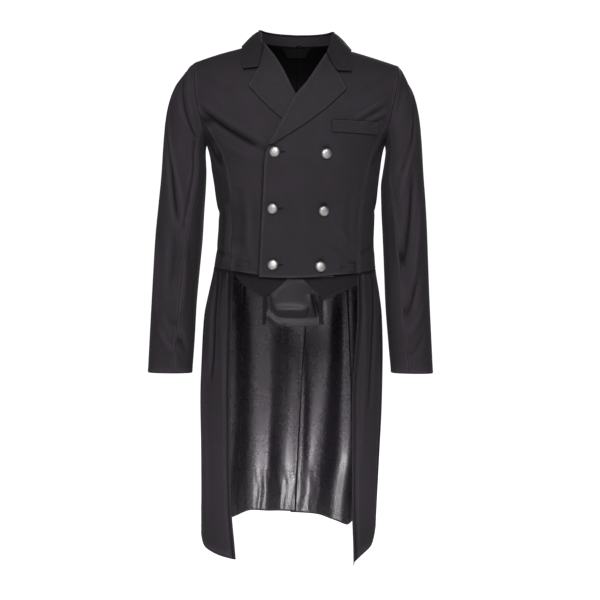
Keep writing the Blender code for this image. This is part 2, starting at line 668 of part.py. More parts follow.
def back_top_places(side, centre, shoulder):
    """Top edge of a back: round the neck to its side point, then along the shoulder seam."""
    sign = SIDES[side]
    neck_x = np.linspace(0, NECK_SIDE, NECK_COLUMNS + 1)[1:-1]
    neck_height = NECK_BACK + (RIDGE.at("height", sign * NECK_SIDE) - NECK_BACK) * (neck_x / NECK_SIDE) ** 2
    shoulder_x = half_width(sign, shoulder[1]) * math.sin(abs(shoulder[0])) ** FORM_POWER
    seam_x = np.linspace(NECK_SIDE, shoulder_x, SHOULDER_COLUMNS + 1)[:-1]
    x = np.concatenate((neck_x, seam_x))
    height = np.concatenate((neck_height, RIDGE.at("height", sign * seam_x)))
    share = (x / half_width(sign, height)) ** (1 / FORM_POWER)
    turn = sign * (math.pi - np.arcsin(share))
    return np.concatenate(([centre], np.stack((turn, height), axis=-1), [shoulder]))


def add_backs(coat):
    """Backs run from the neck to the tail hem; their linings follow the same points on the inside."""
    for side in SIDES:
        turn, height = np.moveaxis(back_places(side), -1, 0)
        layer = back_layer(side, turn, height)
        is_left = side == "left"
        add_cloth(coat, f"back_{side}", *shell_faces(turn, height, layer, CLOTH), "outer_cloth", flip=is_left)
        tail = slice(0, TAIL_STEPS + 1)
        neck = (slice(TAIL_STEPS + BODY_STEPS - 1, None), slice(0, NECK_COLUMNS))
        for name, part, finish in (("tail_lining_back", tail, "leatherette"), ("neck_lining", neck, "neck_lining")):
            add_lining(coat, f"{name}_{side}", turn[part], height[part], layer[part], finish, flip=is_left)


def add_lining(coat, name, turn, height, layer, finish, flip):
    """A lining on the same places as the panel outside it, whose own layer is given."""
    faces = shell_faces(turn, height, layer - CLOTH - LAYER_GAP, LINING)
    add_cloth(coat, name, *faces, finish, flip=flip, gap=LINING_MARGIN)


FACING_COLUMNS = 1        # the front strip's own cloth turns in this far, so the lining starts after it


def tail_side_places(side):
    """Grid of (turn, height) from the hem up, from the front edge round to the side-back seam. Its top
    starts under the front's hem, past the princess seam, and then follows the side body's waist seam."""
    sign = SIDES[side]
    hem_turn = float(side_back_turn(side, -1.0))
    top_x = TAIL_EDGE.column(side)[-1]
    edge_heights = np.linspace(TAIL_HEM.at(side, 38), FRONT_HEM.at(side, top_x), TAIL_STEPS + 1)
    edge_x = TAIL_EDGE.at(side, edge_heights)
    left = np.stack((turn_of(sign * edge_x, edge_heights, -1), edge_heights), axis=-1)
    top = np.concatenate((left[-1:], waist_places(side)))
    back_heights = np.linspace(TAIL_HEM.at(side, np.degrees(abs(hem_turn))), top[-1, 1], TAIL_STEPS + 1)
    right = np.stack((side_back_turn(side, back_heights), back_heights), axis=-1)
    hem_turns = left[0, 0] + (right[0, 0] - left[0, 0]) * polyline_shares(top)
    bottom = np.stack((hem_turns, TAIL_HEM.at(side, np.degrees(np.abs(hem_turns)))), axis=-1)
    bottom[0], bottom[-1] = left[0], right[0]
    return fill_between(left, right, bottom, top)


def add_tail_sides(coat):
    for side in SIDES:
        turn, height = np.moveaxis(tail_side_places(side), -1, 0)
        is_right = side == "right"
        add_cloth(coat, f"tail_side_{side}", *shell_faces(turn, height, 0.0, CLOTH), "outer_cloth", flip=is_right)
        lined = (slice(None), slice(FACING_COLUMNS, None))
        add_lining(coat, f"tail_lining_side_{side}", turn[lined], height[lined], 0.0, "leatherette", flip=is_right)


# ---------------------------------------------------------------- lapels, collar and neck

LAPEL_ROWS = 9
LAPEL_SHARES = (0.0, 0.12, 0.34, 0.66, 1.0)
LAPEL_FOOT = (0.0050, 0.0012)     # from the foot of the roll line to the start of the lower edge
ROLL_WIDTH = 0.010        # how far from the roll line the rise has mostly faded


def lapel_places(side):
    """Grid of x and height between the roll line, the bowed lower edge and the gorge with its notch."""
    corners = LAPELS[side]
    gorge, notch, tip = (np.array(corners[name]) for name in ("gorge", "notch", "tip"))
    share = np.linspace(0, 1, LAPEL_ROWS + 1)
    start = ROLL.column("height")[0]
    heights = start + (gorge[1] - start) * share
    roll = np.stack((ROLL.at(side, heights), heights), axis=-1)
    first = roll[0] + np.array(LAPEL_FOOT)
    chord = tip - first
    outward = np.array((chord[1], -chord[0])) / np.linalg.norm(chord)
    lower = first + chord * share[:, None] + outward * (corners["belly"] * 4 * share * (1 - share))[:, None]
    across = np.array(LAPEL_SHARES)
    bottom = roll[0] + (first - roll[0]) * across[:, None]
    notch_share = np.linalg.norm(notch - roll[-1]) / (
        np.linalg.norm(notch - roll[-1]) + np.linalg.norm(tip - notch))
    top = np.stack([np.interp(across, (0, notch_share, 1), values)
                    for values in zip(roll[-1], notch, tip)], axis=-1)
    return fill_between(roll, lower, bottom, top)


def beside_roll(places):
    """Distance of each place from its row's roll line, and the unit direction away from the lapel."""
    away = places[:, :1] - places[:, 1:2]
    away = away / np.linalg.norm(away, axis=-1, keepdims=True)
    distance = np.linalg.norm(places - places[:, :1], axis=-1)
    return distance, away


def add_lapels(coat):
    """Each lapel starts in a folded edge round the front's own edge and lies back over the front."""
    for side in SIDES:
        places = lapel_places(side)
        distance, away = beside_roll(places)
        pressed = ramp(places[..., 1], -0.115, -0.085) if side == "right" else 1.0
        near_gorge = ramp(places[..., 1], -0.120, -0.060)
        height_over = (COLLAR_CLOTH + OVERLAY_GAP + GORGE_RISE * near_gorge
                       + ROLL_RISE * np.exp(-(distance / ROLL_WIDTH) ** 2) * pressed)
        folded = places[:, :1] + away * ROLL_RADIUS
        grid = np.concatenate((folded, places), axis=1)
        lift = np.concatenate((np.full((len(places), 1), FOLDED_LIFT), height_over), axis=1)
        x, height = np.moveaxis(grid, -1, 0)
        faces = on_front(side, x, height, front_layer(side, x, height) + lift, COLLAR_CLOTH)
        add_cloth(coat, f"lapel_{side}", *faces, "collar_cloth", flip=side == "right")


COLLAR_STEPS = 10         # along each half of the collar
COLLAR_SHARES = (0.0, 0.10, 0.30, 0.52, 0.76, 1.0)


def smooth_through(points, count):
    """Points at equal steps along smooth curves through the first axis of points."""
    knots = np.arange(len(points), dtype=float)
    flat = points.reshape(len(points), -1)
    place = np.linspace(0, len(points) - 1, count + 1)
    curves = [smooth_curve(knots, flat[:, k], place) for k in range(flat.shape[1])]
    return np.stack(curves, axis=-1).reshape(count + 1, *points.shape[1:])


def collar_fold_and_edge(side):
    """World points of the fold line and of the outer edge at ribs 1 to 8."""
    sign = SIDES[side]
    column = COLLAR_RIBS.column
    tilt = np.where(sign < 0, COLLAR_TILT, 0.0) * np.minimum(1.0, column("fold_x") / NECK_SIDE)
    fold = np.stack((sign * column("fold_x"), column("fold_y"), column("fold_z") + tilt), axis=-1)
    edge = []
    for x, z, face in zip(column("edge_x"), column("edge_z"), column("edge_face")):
        z = min(z + (COLLAR_TILT if sign < 0 and x > 0.02 else 0.0), float(RIDGE.at("height", sign * x)) - 1e-4)
        z = float(RIDGE.at("height", sign * x)) - 1e-4 if face == 0 else z
        edge.append(shell_point(turn_of(np.array(sign * x), np.array(z), face), z, COLLAR_LIFT))
    return fold, np.array(edge)


def collar_half(side):
    """Grid of points: rows along the collar from its front end to the centre back, columns from fold to edge."""
    shares = np.array(COLLAR_SHARES)
    fold, edge = collar_fold_and_edge(side)
    rib = edge - fold
    along = np.gradient(fold + edge, axis=0)
    out = np.cross(rib, along) * SIDES[side]
    out /= np.linalg.norm(out, axis=-1, keepdims=True)
    bulge = COLLAR_BULGE * np.sin(np.pi * shares ** 0.6)
    ribs = fold[:, None] + rib[:, None] * shares[None, :, None] + out[:, None] * bulge[None, :, None]
    corners = LAPELS[side]
    path = [ROLL.at(side, corners["gorge"][1]), corners["gorge"][1]], corners["notch"], COLLAR_CORNERS[side]
    x, height = (np.interp(shares, (0, 0.52, 1), values) for values in zip(*path))
    lift = COLLAR_LIFT + ROLL_RISE * np.exp(-(shares / 0.2) ** 2)
    front_end = on_front(side, x, height, lift, COLLAR_CLOTH)[0]
    return smooth_through(np.concatenate((front_end[None], ribs)), COLLAR_STEPS)


def add_collar(coat):
    """The fall in one piece round the neck, and the stand inside it from the neck seam up to the fold."""
    left, right = collar_half("left"), collar_half("right")
    middle = (left[-1:] + right[-1:]) / 2
    fall = np.concatenate((right[:-1], middle, left[:-1][::-1]))
    stand = collar_stand_points()
    add_cloth(coat, "collar", fall, grid_inside(fall, COLLAR_CLOTH), "collar_cloth")
    add_cloth(coat, "collar_stand", stand, grid_inside(stand, COLLAR_CLOTH), "collar_cloth")


STAND_RIBS = slice(1, 8)  # the ribs that stand up from the neck seam


def collar_stand_points():
    """Columns round the neck, rows from the neck seam up to just inside the collar's fold."""
    halves = []
    for side, sign in SIDES.items():
        fold, _edge = collar_fold_and_edge(side)
        fold = smooth_through(fold[STAND_RIBS], 8)
        x = np.abs(fold[:, 0])
        neck_height = NECK_BACK + (RIDGE.at("height", sign * NECK_SIDE) - NECK_BACK) * (x / NECK_SIDE) ** 2
        seam = neck_seam(side, fold, neck_height)
        halves.append((seam, fold))
    rows = []
    for share in (0.04, 0.5, 0.90):
        left = halves[0][0] * (1 - share) + halves[0][1] * share
        right = halves[1][0] * (1 - share) + halves[1][1] * share
        rows.append(np.concatenate((right[:-1], (right[-1:] + left[-1:]) / 2, left[:-1][::-1])))
    return np.array(rows)


def neck_seam(side, fold, neck_height):
    """World points of the neck seam below each fold point."""
    sign = SIDES[side]
    points = []
    for (x, y, _z), height in zip(fold, neck_height):
        face = 1 if y > 0 else -1
        own = min(abs(x), NECK_SIDE - 0.0005)
        ridge = float(RIDGE.at("height", sign * own)) - 0.0002
        if face < 0:
            height = min(ridge, float(np.interp(own, ROLL.column(side), ROLL.column("height"))))
        height = min(height, ridge)
        points.append(shell_point(turn_of(np.array(sign * own), np.array(height), face), height, 0.0))
    return np.array(points)


def add_neck_label(coat):
    """A blank label sewn inside the back of the neck, with a small hanger loop on the stand above it."""
    height = np.array([[LABEL["bottom"]], [LABEL["top"]]])
    half = np.array([[LABEL["bottom_half"]], [LABEL["top_half"]]])
    x, height = np.broadcast_arrays(half * np.linspace(-1, 1, 5), height)
    faces = shell_faces(turn_of(x, height, 1), height, LABEL["layer"], LABEL["wall"])
    add_cloth(coat, "neck_label", *faces, "label_cloth", flip=True)
    turn = np.linspace(0, math.pi, 9)
    arch = np.stack((np.cos(turn), np.sin(turn) ** 0.6), axis=-1)[:, None]
    size = np.array([[(LOOP["half"] - inset, LOOP["rise"] - inset) for inset in (0.0, LOOP["width"])]])
    x, z = np.moveaxis(arch * size, -1, 0)
    points = np.stack((x + LOOP["x"], np.full_like(x, LOOP["y"]), z + LOOP["z"]), axis=-1)
    add_cloth(coat, "hanger_loop", points, points - (0.0, LOOP["wall"], 0.0), "label_cloth")


# ---------------------------------------------------------------- sleeves

SLEEVE_COLUMNS = {"top": 12, "under": 6}


def sleeve_point(side, ring, angle):
    """Place on a sleeve: ring counts down from the armhole, angle in degrees round from the outer line,
    90 in front. Near the armhole the section keeps the armhole's own outline."""
    sign = SIDES[side]
    ring, angle = np.broadcast_arrays(np.asarray(ring, float), np.asarray(angle, float))
    cosine, sine = np.cos(np.radians(angle)), np.sin(np.radians(angle))
    outer = np.stack((SLEEVE.at(f"{side}_out", ring), SLEEVE.at(f"{side}_out_z", ring)), axis=-1)
    inner = np.stack((SLEEVE.at(f"{side}_in", ring), SLEEVE.at("in_z", ring)), axis=-1)
    swing = np.sign(cosine) * np.abs(cosine) ** ARM_POWER
    plane = (outer + inner) / 2 + (outer - inner) / 2 * swing[..., None]
    depth = -SLEEVE.at("half_depth", ring) * np.sign(sine) * np.abs(sine) ** ARM_POWER
    oval = np.stack((plane[..., 0], depth + SLEEVE.at("middle_y", ring), plane[..., 1]), axis=-1)
    arm_turn, arm_height = armhole_turns(side, angle % 360)
    arm = form_point(arm_turn, arm_height)
    arm[..., 0] *= sign
    top_x, top_height = armhole_places(side, 0.0)
    bottom_x, bottom_height = armhole_places(side, 180.0)
    upper, lower = (1 + cosine) / 2, (1 - cosine) / 2
    arm[..., 0] += (outer[..., 0] - top_x) * upper + (inner[..., 0] - bottom_x) * lower
    arm[..., 2] += (outer[..., 1] - top_height) * upper + (inner[..., 1] - bottom_height) * lower
    keep = SLEEVE.at("keep", ring)[..., None]
    point = arm * keep + oval * (1 - keep)
    point[..., 0] *= sign
    return point


def sleeve_inside(side, ring, angle):
    """The sleeve's place moved in by the wall, along a normal from small steps round and down the sleeve."""
    step = 0.05
    around = sleeve_point(side, ring, angle + 1.0) - sleeve_point(side, ring, angle - 1.0)
    down = sleeve_point(side, ring + step, angle) - sleeve_point(side, ring - step, angle)
    inward = np.cross(around, down) * -SIDES[side]
    return sleeve_point(side, ring, angle) + inward / np.linalg.norm(inward, axis=-1, keepdims=True) * CLOTH


def add_sleeves(coat):
    rings = SLEEVE.column("ring")[:, None]
    for side in SIDES:
        front, back = SLEEVE_FRONT_SEAM.at("turn", rings), SLEEVE_BACK_SEAM.at("turn", rings)
        spans = {"top": (back - 360, front), "under": (front, back)}
        for name, (start, end) in spans.items():
            share = np.linspace(0, 1, SLEEVE_COLUMNS[name] + 1)[None]
            angle = start + (end - start) * share
            add_cloth(coat, f"{name}_sleeve_{side}", sleeve_point(side, rings, angle),
                      sleeve_inside(side, rings, angle), "outer_cloth", flip=side == "right")


# ---------------------------------------------------------------- pocket, waistcoat points, tab and buttons

def add_welt(coat):
    """Breast pocket welt on the left front."""
    x, height = np.meshgrid(np.linspace(WELT["inner"], WELT["outer"], 7),
                            np.linspace(WELT["bottom"], WELT["top"], 3))
    layer = front_layer("left", x, height) + WELT["lift"]
    add_cloth(coat, "breast_welt", *on_front("left", x, height, layer, COLLAR_CLOTH), "outer_cloth")


def add_waistcoat_points(coat):
    """Two false waistcoat points that hang from inside the front hem."""
    for side in SIDES:
        lower_x, lower_height = np.array(WAISTCOAT_POINTS[side]).T
        x = np.concatenate([np.linspace(a, b, 2, endpoint=False) for a, b in zip(lower_x, lower_x[1:])]
                           + [lower_x[-1:]])
        bottom = np.interp(-x, -lower_x, lower_height)
        height = POINT_TOP + (bottom - POINT_TOP) * np.linspace(1, 0, 4)[:, None]
        grid_x = np.broadcast_to(x, height.shape)
        faces = on_front(side, grid_x, height, POINT_LAYER, POINT_CLOTH)
        add_cloth(coat, f"waistcoat_point_{side}", *faces, "outer_cloth", flip=side == "left")


def add_tab(coat):
    """Satin tab that hangs behind the points, with a gathered elastic down each side."""
    heights = np.linspace(TAB["bottom"], TAB["top"], 6)[:, None]
    x = np.linspace(-TAB["right"], TAB["left"], 6)[None]
    grid = np.broadcast_arrays(x, heights)
    add_cloth(coat, "waist_tab", *shell_faces(turn_of(*grid, -1), grid[1], TAB_LAYER, LINING), "satin")
    for side, sign in SIDES.items():
        start = sign * (TAB[side] + SEAM_GAP)
        x = np.linspace(start, start + sign * TAB["elastic"], 2)[None]
        heights = np.linspace(TAB["bottom"] + 0.004, TAB["gather"], 5)[:, None]
        grid = np.broadcast_arrays(x, heights)
        faces = shell_faces(turn_of(*grid, -1), grid[1], TAB_LAYER, LINING)
        add_cloth(coat, f"tab_elastic_{side}", *faces, "elastic", flip=side == "right")


def button_profile():
    """Half section from the foot of the shank, out under the disc, round its rim and in over the dome."""
    rim_low, rim_high = SHANK_HEIGHT, SHANK_HEIGHT + 0.0016
    dome = [(BUTTON_RADIUS * 0.90 * math.cos(t), rim_high + (BUTTON_HEIGHT - rim_high) * math.sin(t))
            for t in (0.35, 0.75, 1.15)]
    return [(0.0, 0.0), (SHANK_RADIUS, 0.0), (SHANK_RADIUS, rim_low), (BUTTON_RADIUS * 0.92, rim_low),
            (BUTTON_RADIUS, (rim_low + rim_high) / 2), (BUTTON_RADIUS * 0.95, rim_high), *dome,
            (0.0, BUTTON_HEIGHT)]


def add_buttons(coat):
    """Six domed metal buttons with shanks, two upright rows seated on the left front's own facets."""
    bpy.context.view_layer.update()
    front = coat.objects["front_left"]
    for place, (x, height) in BUTTONS.items():
        turn = turn_of(np.array(x), np.array(height), -1)
        normal = Vector(form_normal(turn, np.array(height)).tolist())
        above = Vector(shell_point(turn, height, 0.05).tolist())
        _hit, seat, _facing, _index = front.ray_cast(above, -normal)
        foot = seat + normal * SHANK_GAP
        mesh = bpy.data.meshes.new(f"button_{place}")
        profile = [(radius, 0.0, z) for radius, z in button_profile()][::-1]
        mesh.from_pydata(profile, [(i, i + 1) for i in range(len(profile) - 1)], [])
        mesh.materials.append(make_material(f"button_{place}", "button_metal"))
        button = bpy.data.objects.new(f"button_{place}", mesh)
        coat.objects.link(button)
        button.location = foot
        button.rotation_euler = normal.to_track_quat("Z", "Y").to_euler()
        turned = button.modifiers.new("turned", "SCREW")
        turned.steps = turned.render_steps = BUTTON_STEPS
        turned.use_merge_vertices = True
        turned.merge_threshold = 0.00005
        turned.use_smooth_shade = True


def main():
    coat = start_scene()
    add_fronts(coat)
    add_side_bodies(coat)
    add_backs(coat)
    add_tail_sides(coat)
    add_lapels(coat)
    add_collar(coat)
    add_neck_label(coat)
    add_sleeves(coat)
    add_welt(coat)
    add_waistcoat_points(coat)
    add_tab(coat)
    add_buttons(coat)


if __name__ == "__main__":
    main()
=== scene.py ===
"""Looks of the dressage tailcoat: cloth, linings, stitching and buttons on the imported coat's own form.

Every cloth piece is a closed shell of two grids of points. A place on the body form is (turn, height): turn is
the angle round the body from the front centre, positive towards the wearer's left. Lengths are in metres.
Creases and folds are curves of places that push the cloth out or in with a bell-shaped section.
"""
import json
import math

import bpy
import numpy as np
from bpy.props import FloatProperty, FloatVectorProperty, PointerProperty
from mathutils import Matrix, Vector

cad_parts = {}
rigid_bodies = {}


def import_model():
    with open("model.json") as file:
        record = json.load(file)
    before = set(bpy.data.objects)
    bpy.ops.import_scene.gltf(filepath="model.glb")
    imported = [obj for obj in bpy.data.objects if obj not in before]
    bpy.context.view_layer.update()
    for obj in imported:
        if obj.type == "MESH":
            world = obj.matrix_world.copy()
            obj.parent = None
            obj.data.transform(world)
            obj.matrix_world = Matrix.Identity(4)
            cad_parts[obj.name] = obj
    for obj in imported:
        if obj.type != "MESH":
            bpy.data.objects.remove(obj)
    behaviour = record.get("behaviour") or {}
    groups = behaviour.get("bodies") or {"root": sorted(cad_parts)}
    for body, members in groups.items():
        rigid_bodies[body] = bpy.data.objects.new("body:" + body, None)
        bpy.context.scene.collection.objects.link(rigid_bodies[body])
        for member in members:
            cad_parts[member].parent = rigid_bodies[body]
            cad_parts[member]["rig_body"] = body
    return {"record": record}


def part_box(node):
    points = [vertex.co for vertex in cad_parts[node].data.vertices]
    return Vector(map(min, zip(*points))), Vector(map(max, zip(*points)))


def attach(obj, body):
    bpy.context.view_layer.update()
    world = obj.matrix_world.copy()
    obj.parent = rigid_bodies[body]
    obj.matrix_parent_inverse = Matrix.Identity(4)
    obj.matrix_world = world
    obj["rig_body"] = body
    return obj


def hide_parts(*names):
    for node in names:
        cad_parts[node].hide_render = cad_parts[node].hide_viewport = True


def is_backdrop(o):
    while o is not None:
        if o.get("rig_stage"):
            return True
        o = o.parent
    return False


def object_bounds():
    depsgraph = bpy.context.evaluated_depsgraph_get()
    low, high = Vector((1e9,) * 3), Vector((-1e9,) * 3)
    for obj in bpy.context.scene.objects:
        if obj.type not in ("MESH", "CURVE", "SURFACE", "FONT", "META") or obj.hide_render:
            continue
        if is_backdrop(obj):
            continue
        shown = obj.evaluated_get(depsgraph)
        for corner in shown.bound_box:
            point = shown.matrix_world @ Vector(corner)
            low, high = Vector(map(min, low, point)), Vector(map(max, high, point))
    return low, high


bl_info = {
    "name": "Dressage tailcoat",
    "version": (1, 0, 0),
    "blender": (4, 5, 0),
    "location": "3D View > Sidebar > Tailcoat",
    "description": "Builds a double-breasted dressage tailcoat around its packed frame",
    "category": "Object",
}

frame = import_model()
CAD_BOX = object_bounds()

CLOTH = 0.0016            # outer cloth with its interlining
COLLAR_CLOTH = 0.0014     # lapels, collar and pocket welt
LINING = 0.001            # leatherette tail lining, satin and neck lining
LAYER_GAP = 0.0005        # between a panel and the lining that follows it
OVERLAY_GAP = 0.0019      # between a panel and a piece laid on it
LINING_MARGIN = 0.003     # between two linings at a seam
FORM_POWER = 0.85         # below 1 squares the body section off a little
CAP_HEIGHT = 0.13         # how far below the shoulder ridge the form reaches its full depth
ARM_POWER = 0.92          # the same squaring for the sleeve sections
GIRTH = 0.17              # metres round the body for one radian of turn
ARM_GIRTH = 0.058         # metres round a sleeve for one radian
ARMHOLE_BOTTOM = -0.2045
ARMHOLE_REACH = 0.04      # how far below it the creases may have to fade out for a sleeve
ARMHOLE_FADE = 0.016      # from an armhole to where creases are whole
ARM_STEP = 5              # degrees between columns round an armhole
FRONT_JUNCTION = {"left": 120, "right": 100}    # where the princess seam meets the armhole, degrees
BACK_JUNCTION = 240       # where the side-back seam meets it
BODY_ROWS = 42            # rows from the waist seam to the armhole
EDGE_ROWS = 30            # of those in front, the rows up to the top button
TAIL_ROWS = 49            # rows from the tail hem to the waist seam
VENT_ROWS = 42            # of those, the rows up to the top of the vent
SHOULDER_COLUMNS = 28
NECK_COLUMNS = 10
STRIP_COLUMNS = 4         # the front strip of each tail that is faced with its own cloth
SIDES = {"left": 1, "right": -1}


class Table:
    """Rows of named columns. at() reads one column as a smooth curve over the first column."""

    def __init__(self, names, *rows):
        self.names, self.columns = names.split(), np.array(rows, float).T

    def __getitem__(self, name):
        return self.columns[self.names.index(name)]

    def at(self, name, place):
        return smooth_curve(self.columns[0], self[name], np.asarray(place, float))


def smooth_curve(knots, values, place):
    """Cubic Hermite pieces through the knots. The slope at a knot is the harmonic mean of its two chords,
    or level where they differ in sign, so the curve never overshoots."""
    steps = np.diff(knots)
    chords = np.diff(values) / steps
    product = chords[:-1] * chords[1:]
    total = np.where(product > 0, chords[:-1] + chords[1:], 1.0)
    slopes = np.concatenate((chords[:1], np.where(product > 0, 2 * product / total, 0.0), chords[-1:]))
    place = np.clip(place, knots[0], knots[-1])
    piece = np.clip(np.searchsorted(knots, place, side="right") - 1, 0, len(steps) - 1)
    width = steps[piece]
    t = (place - knots[piece]) / width
    start = values[piece] * (1 + 2 * t) * (1 - t) ** 2 + slopes[piece] * width * t * (1 - t) ** 2
    end = values[piece + 1] * t * t * (3 - 2 * t) + slopes[piece + 1] * width * t * t * (t - 1)
    return start + end


BODY = Table(
    "height right_half left_half front_depth back_depth",
    (-1.1, .2, .162, .1, .131), (-1, .2005, .167, .102, .131), (-.84, .2015, .1755, .107, .129),
    (-.74, .2027, .1798, .11, .128), (-.64, .199, .1812, .112, .127), (-.563, .194, .1792, .112, .122),
    (-.512, .1838, .1733, .11, .115), (-.462, .173, .1655, .108, .106), (-.412, .1668, .163, .107, .1),
    (-.361, .1636, .1642, .11, .1), (-.311, .1705, .1702, .117, .106), (-.26, .1774, .1752, .123, .114),
    (-.235, .1805, .1782, .125, .118), (-.205, .1885, .1855, .127, .121), (-.18, .205, .202, .126, .123),
    (-.136, .233, .23, .124, .123), (-.099, .258, .2545, .119, .119), (-.06, .285, .28, .112, .108),
    (-.03, .293, .288, .106, .095), (0, .298, .293, .1, .08), (.015, .3, .295, .097, .074), (.08, .3, .295, .09, .06))
RIDGE = Table(            # shoulder ridge over x
    "x height",
    (-.3, -.062), (-.2109, -.0305), (-.1586, -.0135), (-.1107, -.0005), (-.075, .012), (-.04, .04), (0, .07),
    (.04, .036), (.075, .006), (.1115, -.0075), (.1313, -.0132), (.1733, -.0262), (.2118, -.0385), (.3, -.068))
TAIL_FOLDS = Table(       # degrees round the body, half width in degrees, how far out at the hem, where it starts
    "turn width depth start",
    (66, 9, .003, -.62), (96, 10, -.004, -.56), (117, 7, .0045, -.6), (241, 7, .0045, -.64), (263, 9, -.0035, -.58),
    (292, 9, .003, -.62))
PLEATS = Table(           # x of the flat bands of the tails' soft pleats; between them the cloth turns
    "height a b c d e f",
    (-1.02, -.17, -.073, -.024, .012, .087, .138), (-.96, -.17, -.0715, -.023, .0165, .0915, .14),
    (-.857, -.162, -.067, -.02, .032, .107, .146), (-.79, -.157, -.066, -.0125, .0425, .109, .148),
    (-.725, -.156, -.065, -.0075, .052, .11, .149), (-.65, -.156, -.065, -.003, .06, .111, .15),
    (-.51, -.156, -.065, 0, .064, .111, .15))
PLEAT_RISE = (0.0, -0.002, 0.0135, 0.011, -0.0005, 0.0)        # how far out each flat band stands
PLEAT_TOP = (-0.47, -0.6)         # the pleats begin at the first height and are full at the second
FOLD_FULL = -1.0          # height where the tail folds reach their full depth
ARMHOLE = Table(          # how far the armhole stands outside the underarm point
    "height right_out left_out",
    (-.2045, 0, 0), (-.18, .0035, .003), (-.136, .0133, .011), (-.099, .0188, .0195), (-.045, .0222, .026),
    (-.025, .0222, .026))
PRINCESS = Table(         # seams and edges give x on the wearer's own side of the centre line
    "height right left",
    (-.474, .1353, .1304), (-.424, .1345, .1299), (-.388, .1319, .1305), (-.352, .1327, .133), (-.316, .1363, .138),
    (-.272, .143, .1465), (-.239, .151, .1545), (-.21, .1625, .165), (-.181, .178, .18), (-.14, .2005, .2))
SIDE_BACK = Table(
    "height right left",
    (-1.02, .132, .12), (-.8, .127, .12), (-.6, .119, .115), (-.455, .112, .11), (-.4, .115, .113),
    (-.33, .127, .126), (-.26, .147, .145), (-.2, .173, .17), (-.16, .198, .195))
FRONT_EDGE = Table(
    "height reach",
    (-.4834, .0755), (-.4327, .0735), (-.3707, .0705), (-.3087, .0672), (-.253, .0642), (-.2281, .0601),
    (-.2157, .0514))
ROLL = Table(
    "height right left",
    (-.2157, -.0514, -.0514), (-.1663, -.0259, -.0259), (-.1192, 0, 0), (-.0976, .0112, .0175), (-.065, .027, .0385),
    (-.0345, .0447, .056), (-.005, .064, .0705), (.012, .0735, .0735))
CROSSING = -0.1192        # where the two roll lines cross, on the centre line
FRONT_HEM = Table(
    "x right left",
    (-.0755, -.4834, -.4834), (-.02, -.4845, -.4856), (.03, -.483, -.4843), (.0767, -.4785, -.4796),
    (.136, -.4692, -.4742))
WAIST_SEAM = Table(
    "turn right left",
    (38, -.47, -.4752), (60, -.4655, -.47), (90, -.456, -.4625), (120, -.456, -.46), (180, -.456, -.456))
TAIL_EDGE = Table(
    "height right left",
    (-1.09, .1215, .1178), (-1.03, .1265, .1165), (-.96, .1325, .114), (-.84, .1352, .1134), (-.735, .1352, .1134),
    (-.64, .1335, .1192), (-.55, .131, .1248), (-.468, .1293, .1236))
TAIL_HEM = Table(
    "turn right left",
    (36, -1.059, -1.078), (50, -1.053, -1.056), (65, -1.042, -1.037), (80, -1.024, -1.008), (95, -1.009, -.99),
    (112, -1.003, -.985), (130, -1.001, -1), (143, -.996, -1.018), (155, -.988, -1.008), (168, -.991, -.999),
    (186, -.995, -.995))
WAIST_BACK = -0.456
VENT_TOP = -0.51
VENT_CORNER = 0.035       # height over which the inside tail's edge comes across at the top of the vent
VENT = Table(             # the wearer's right tail lies inside, the left one outside
    "height inside_edge outside_edge",
    (-1.02, -.0025, -.014), (-.9, .0028, -.011), (-.814, .0067, -.008), (-.656, .015, -.003), (-.59, .02, -.001),
    (-.52, .0205, 0))
VENT_DROP = 0.0036        # how far the right tail goes in beside the vent
VENT_SIDE = (-0.055, -0.022)      # world x where it begins to, and where it is all the way in
BLADES = -0.15
NECK_BACK = 0.012
NECK_SIDE = 0.0735
LAPELS = {
    "left": {"gorge": (0.059, -0.029), "notch": (0.0817, -0.0656), "tip": (0.1006, -0.1028), "belly": 0.0075},
    "right": {"gorge": (0.064, -0.005), "notch": (0.0766, -0.0583), "tip": (0.0956, -0.0965), "belly": 0.0085},
}
ROLL_RADIUS = 0.0022
ROLL_RISE = 0.0024
ROLL_WIDTH = 0.01
ROLL_FOOT = 0.0004        # height of the lapel's folded end beside the front's own edge
GORGE_RISE = 0.001
COLLAR_RIBS = Table(      # fold line and outer edge of the collar from its front end to the centre back
    "rib fold_x fold_y fold_z edge_x edge_z edge_face",
    (1, .0668, -.0625, -.013, .1103, -.044, -1), (2, .0722, -.045, .001, .11, -.024, -1),
    (3, .075, -.024, .017, .1108, -.013, -1), (4, .076, -.003, .03, .1115, -.006, 0),
    (5, .0725, .022, .0345, .106, -.013, 1), (6, .057, .044, .035, .085, -.015, 1),
    (7, .031, .057, .0352, .048, -.015, 1), (8, 0, .0615, .0355, 0, -.0145, 1))
COLLAR_CORNERS = {"left": (0.1107, -0.0656), "right": (0.1067, -0.0609)}
COLLAR_TILT = 0.0035
COLLAR_LIFT = COLLAR_CLOTH + OVERLAY_GAP + GORGE_RISE
COLLAR_BULGE = 0.0035
FOLD_RADIUS = 0.0015      # the collar's fold, over the top of its stand
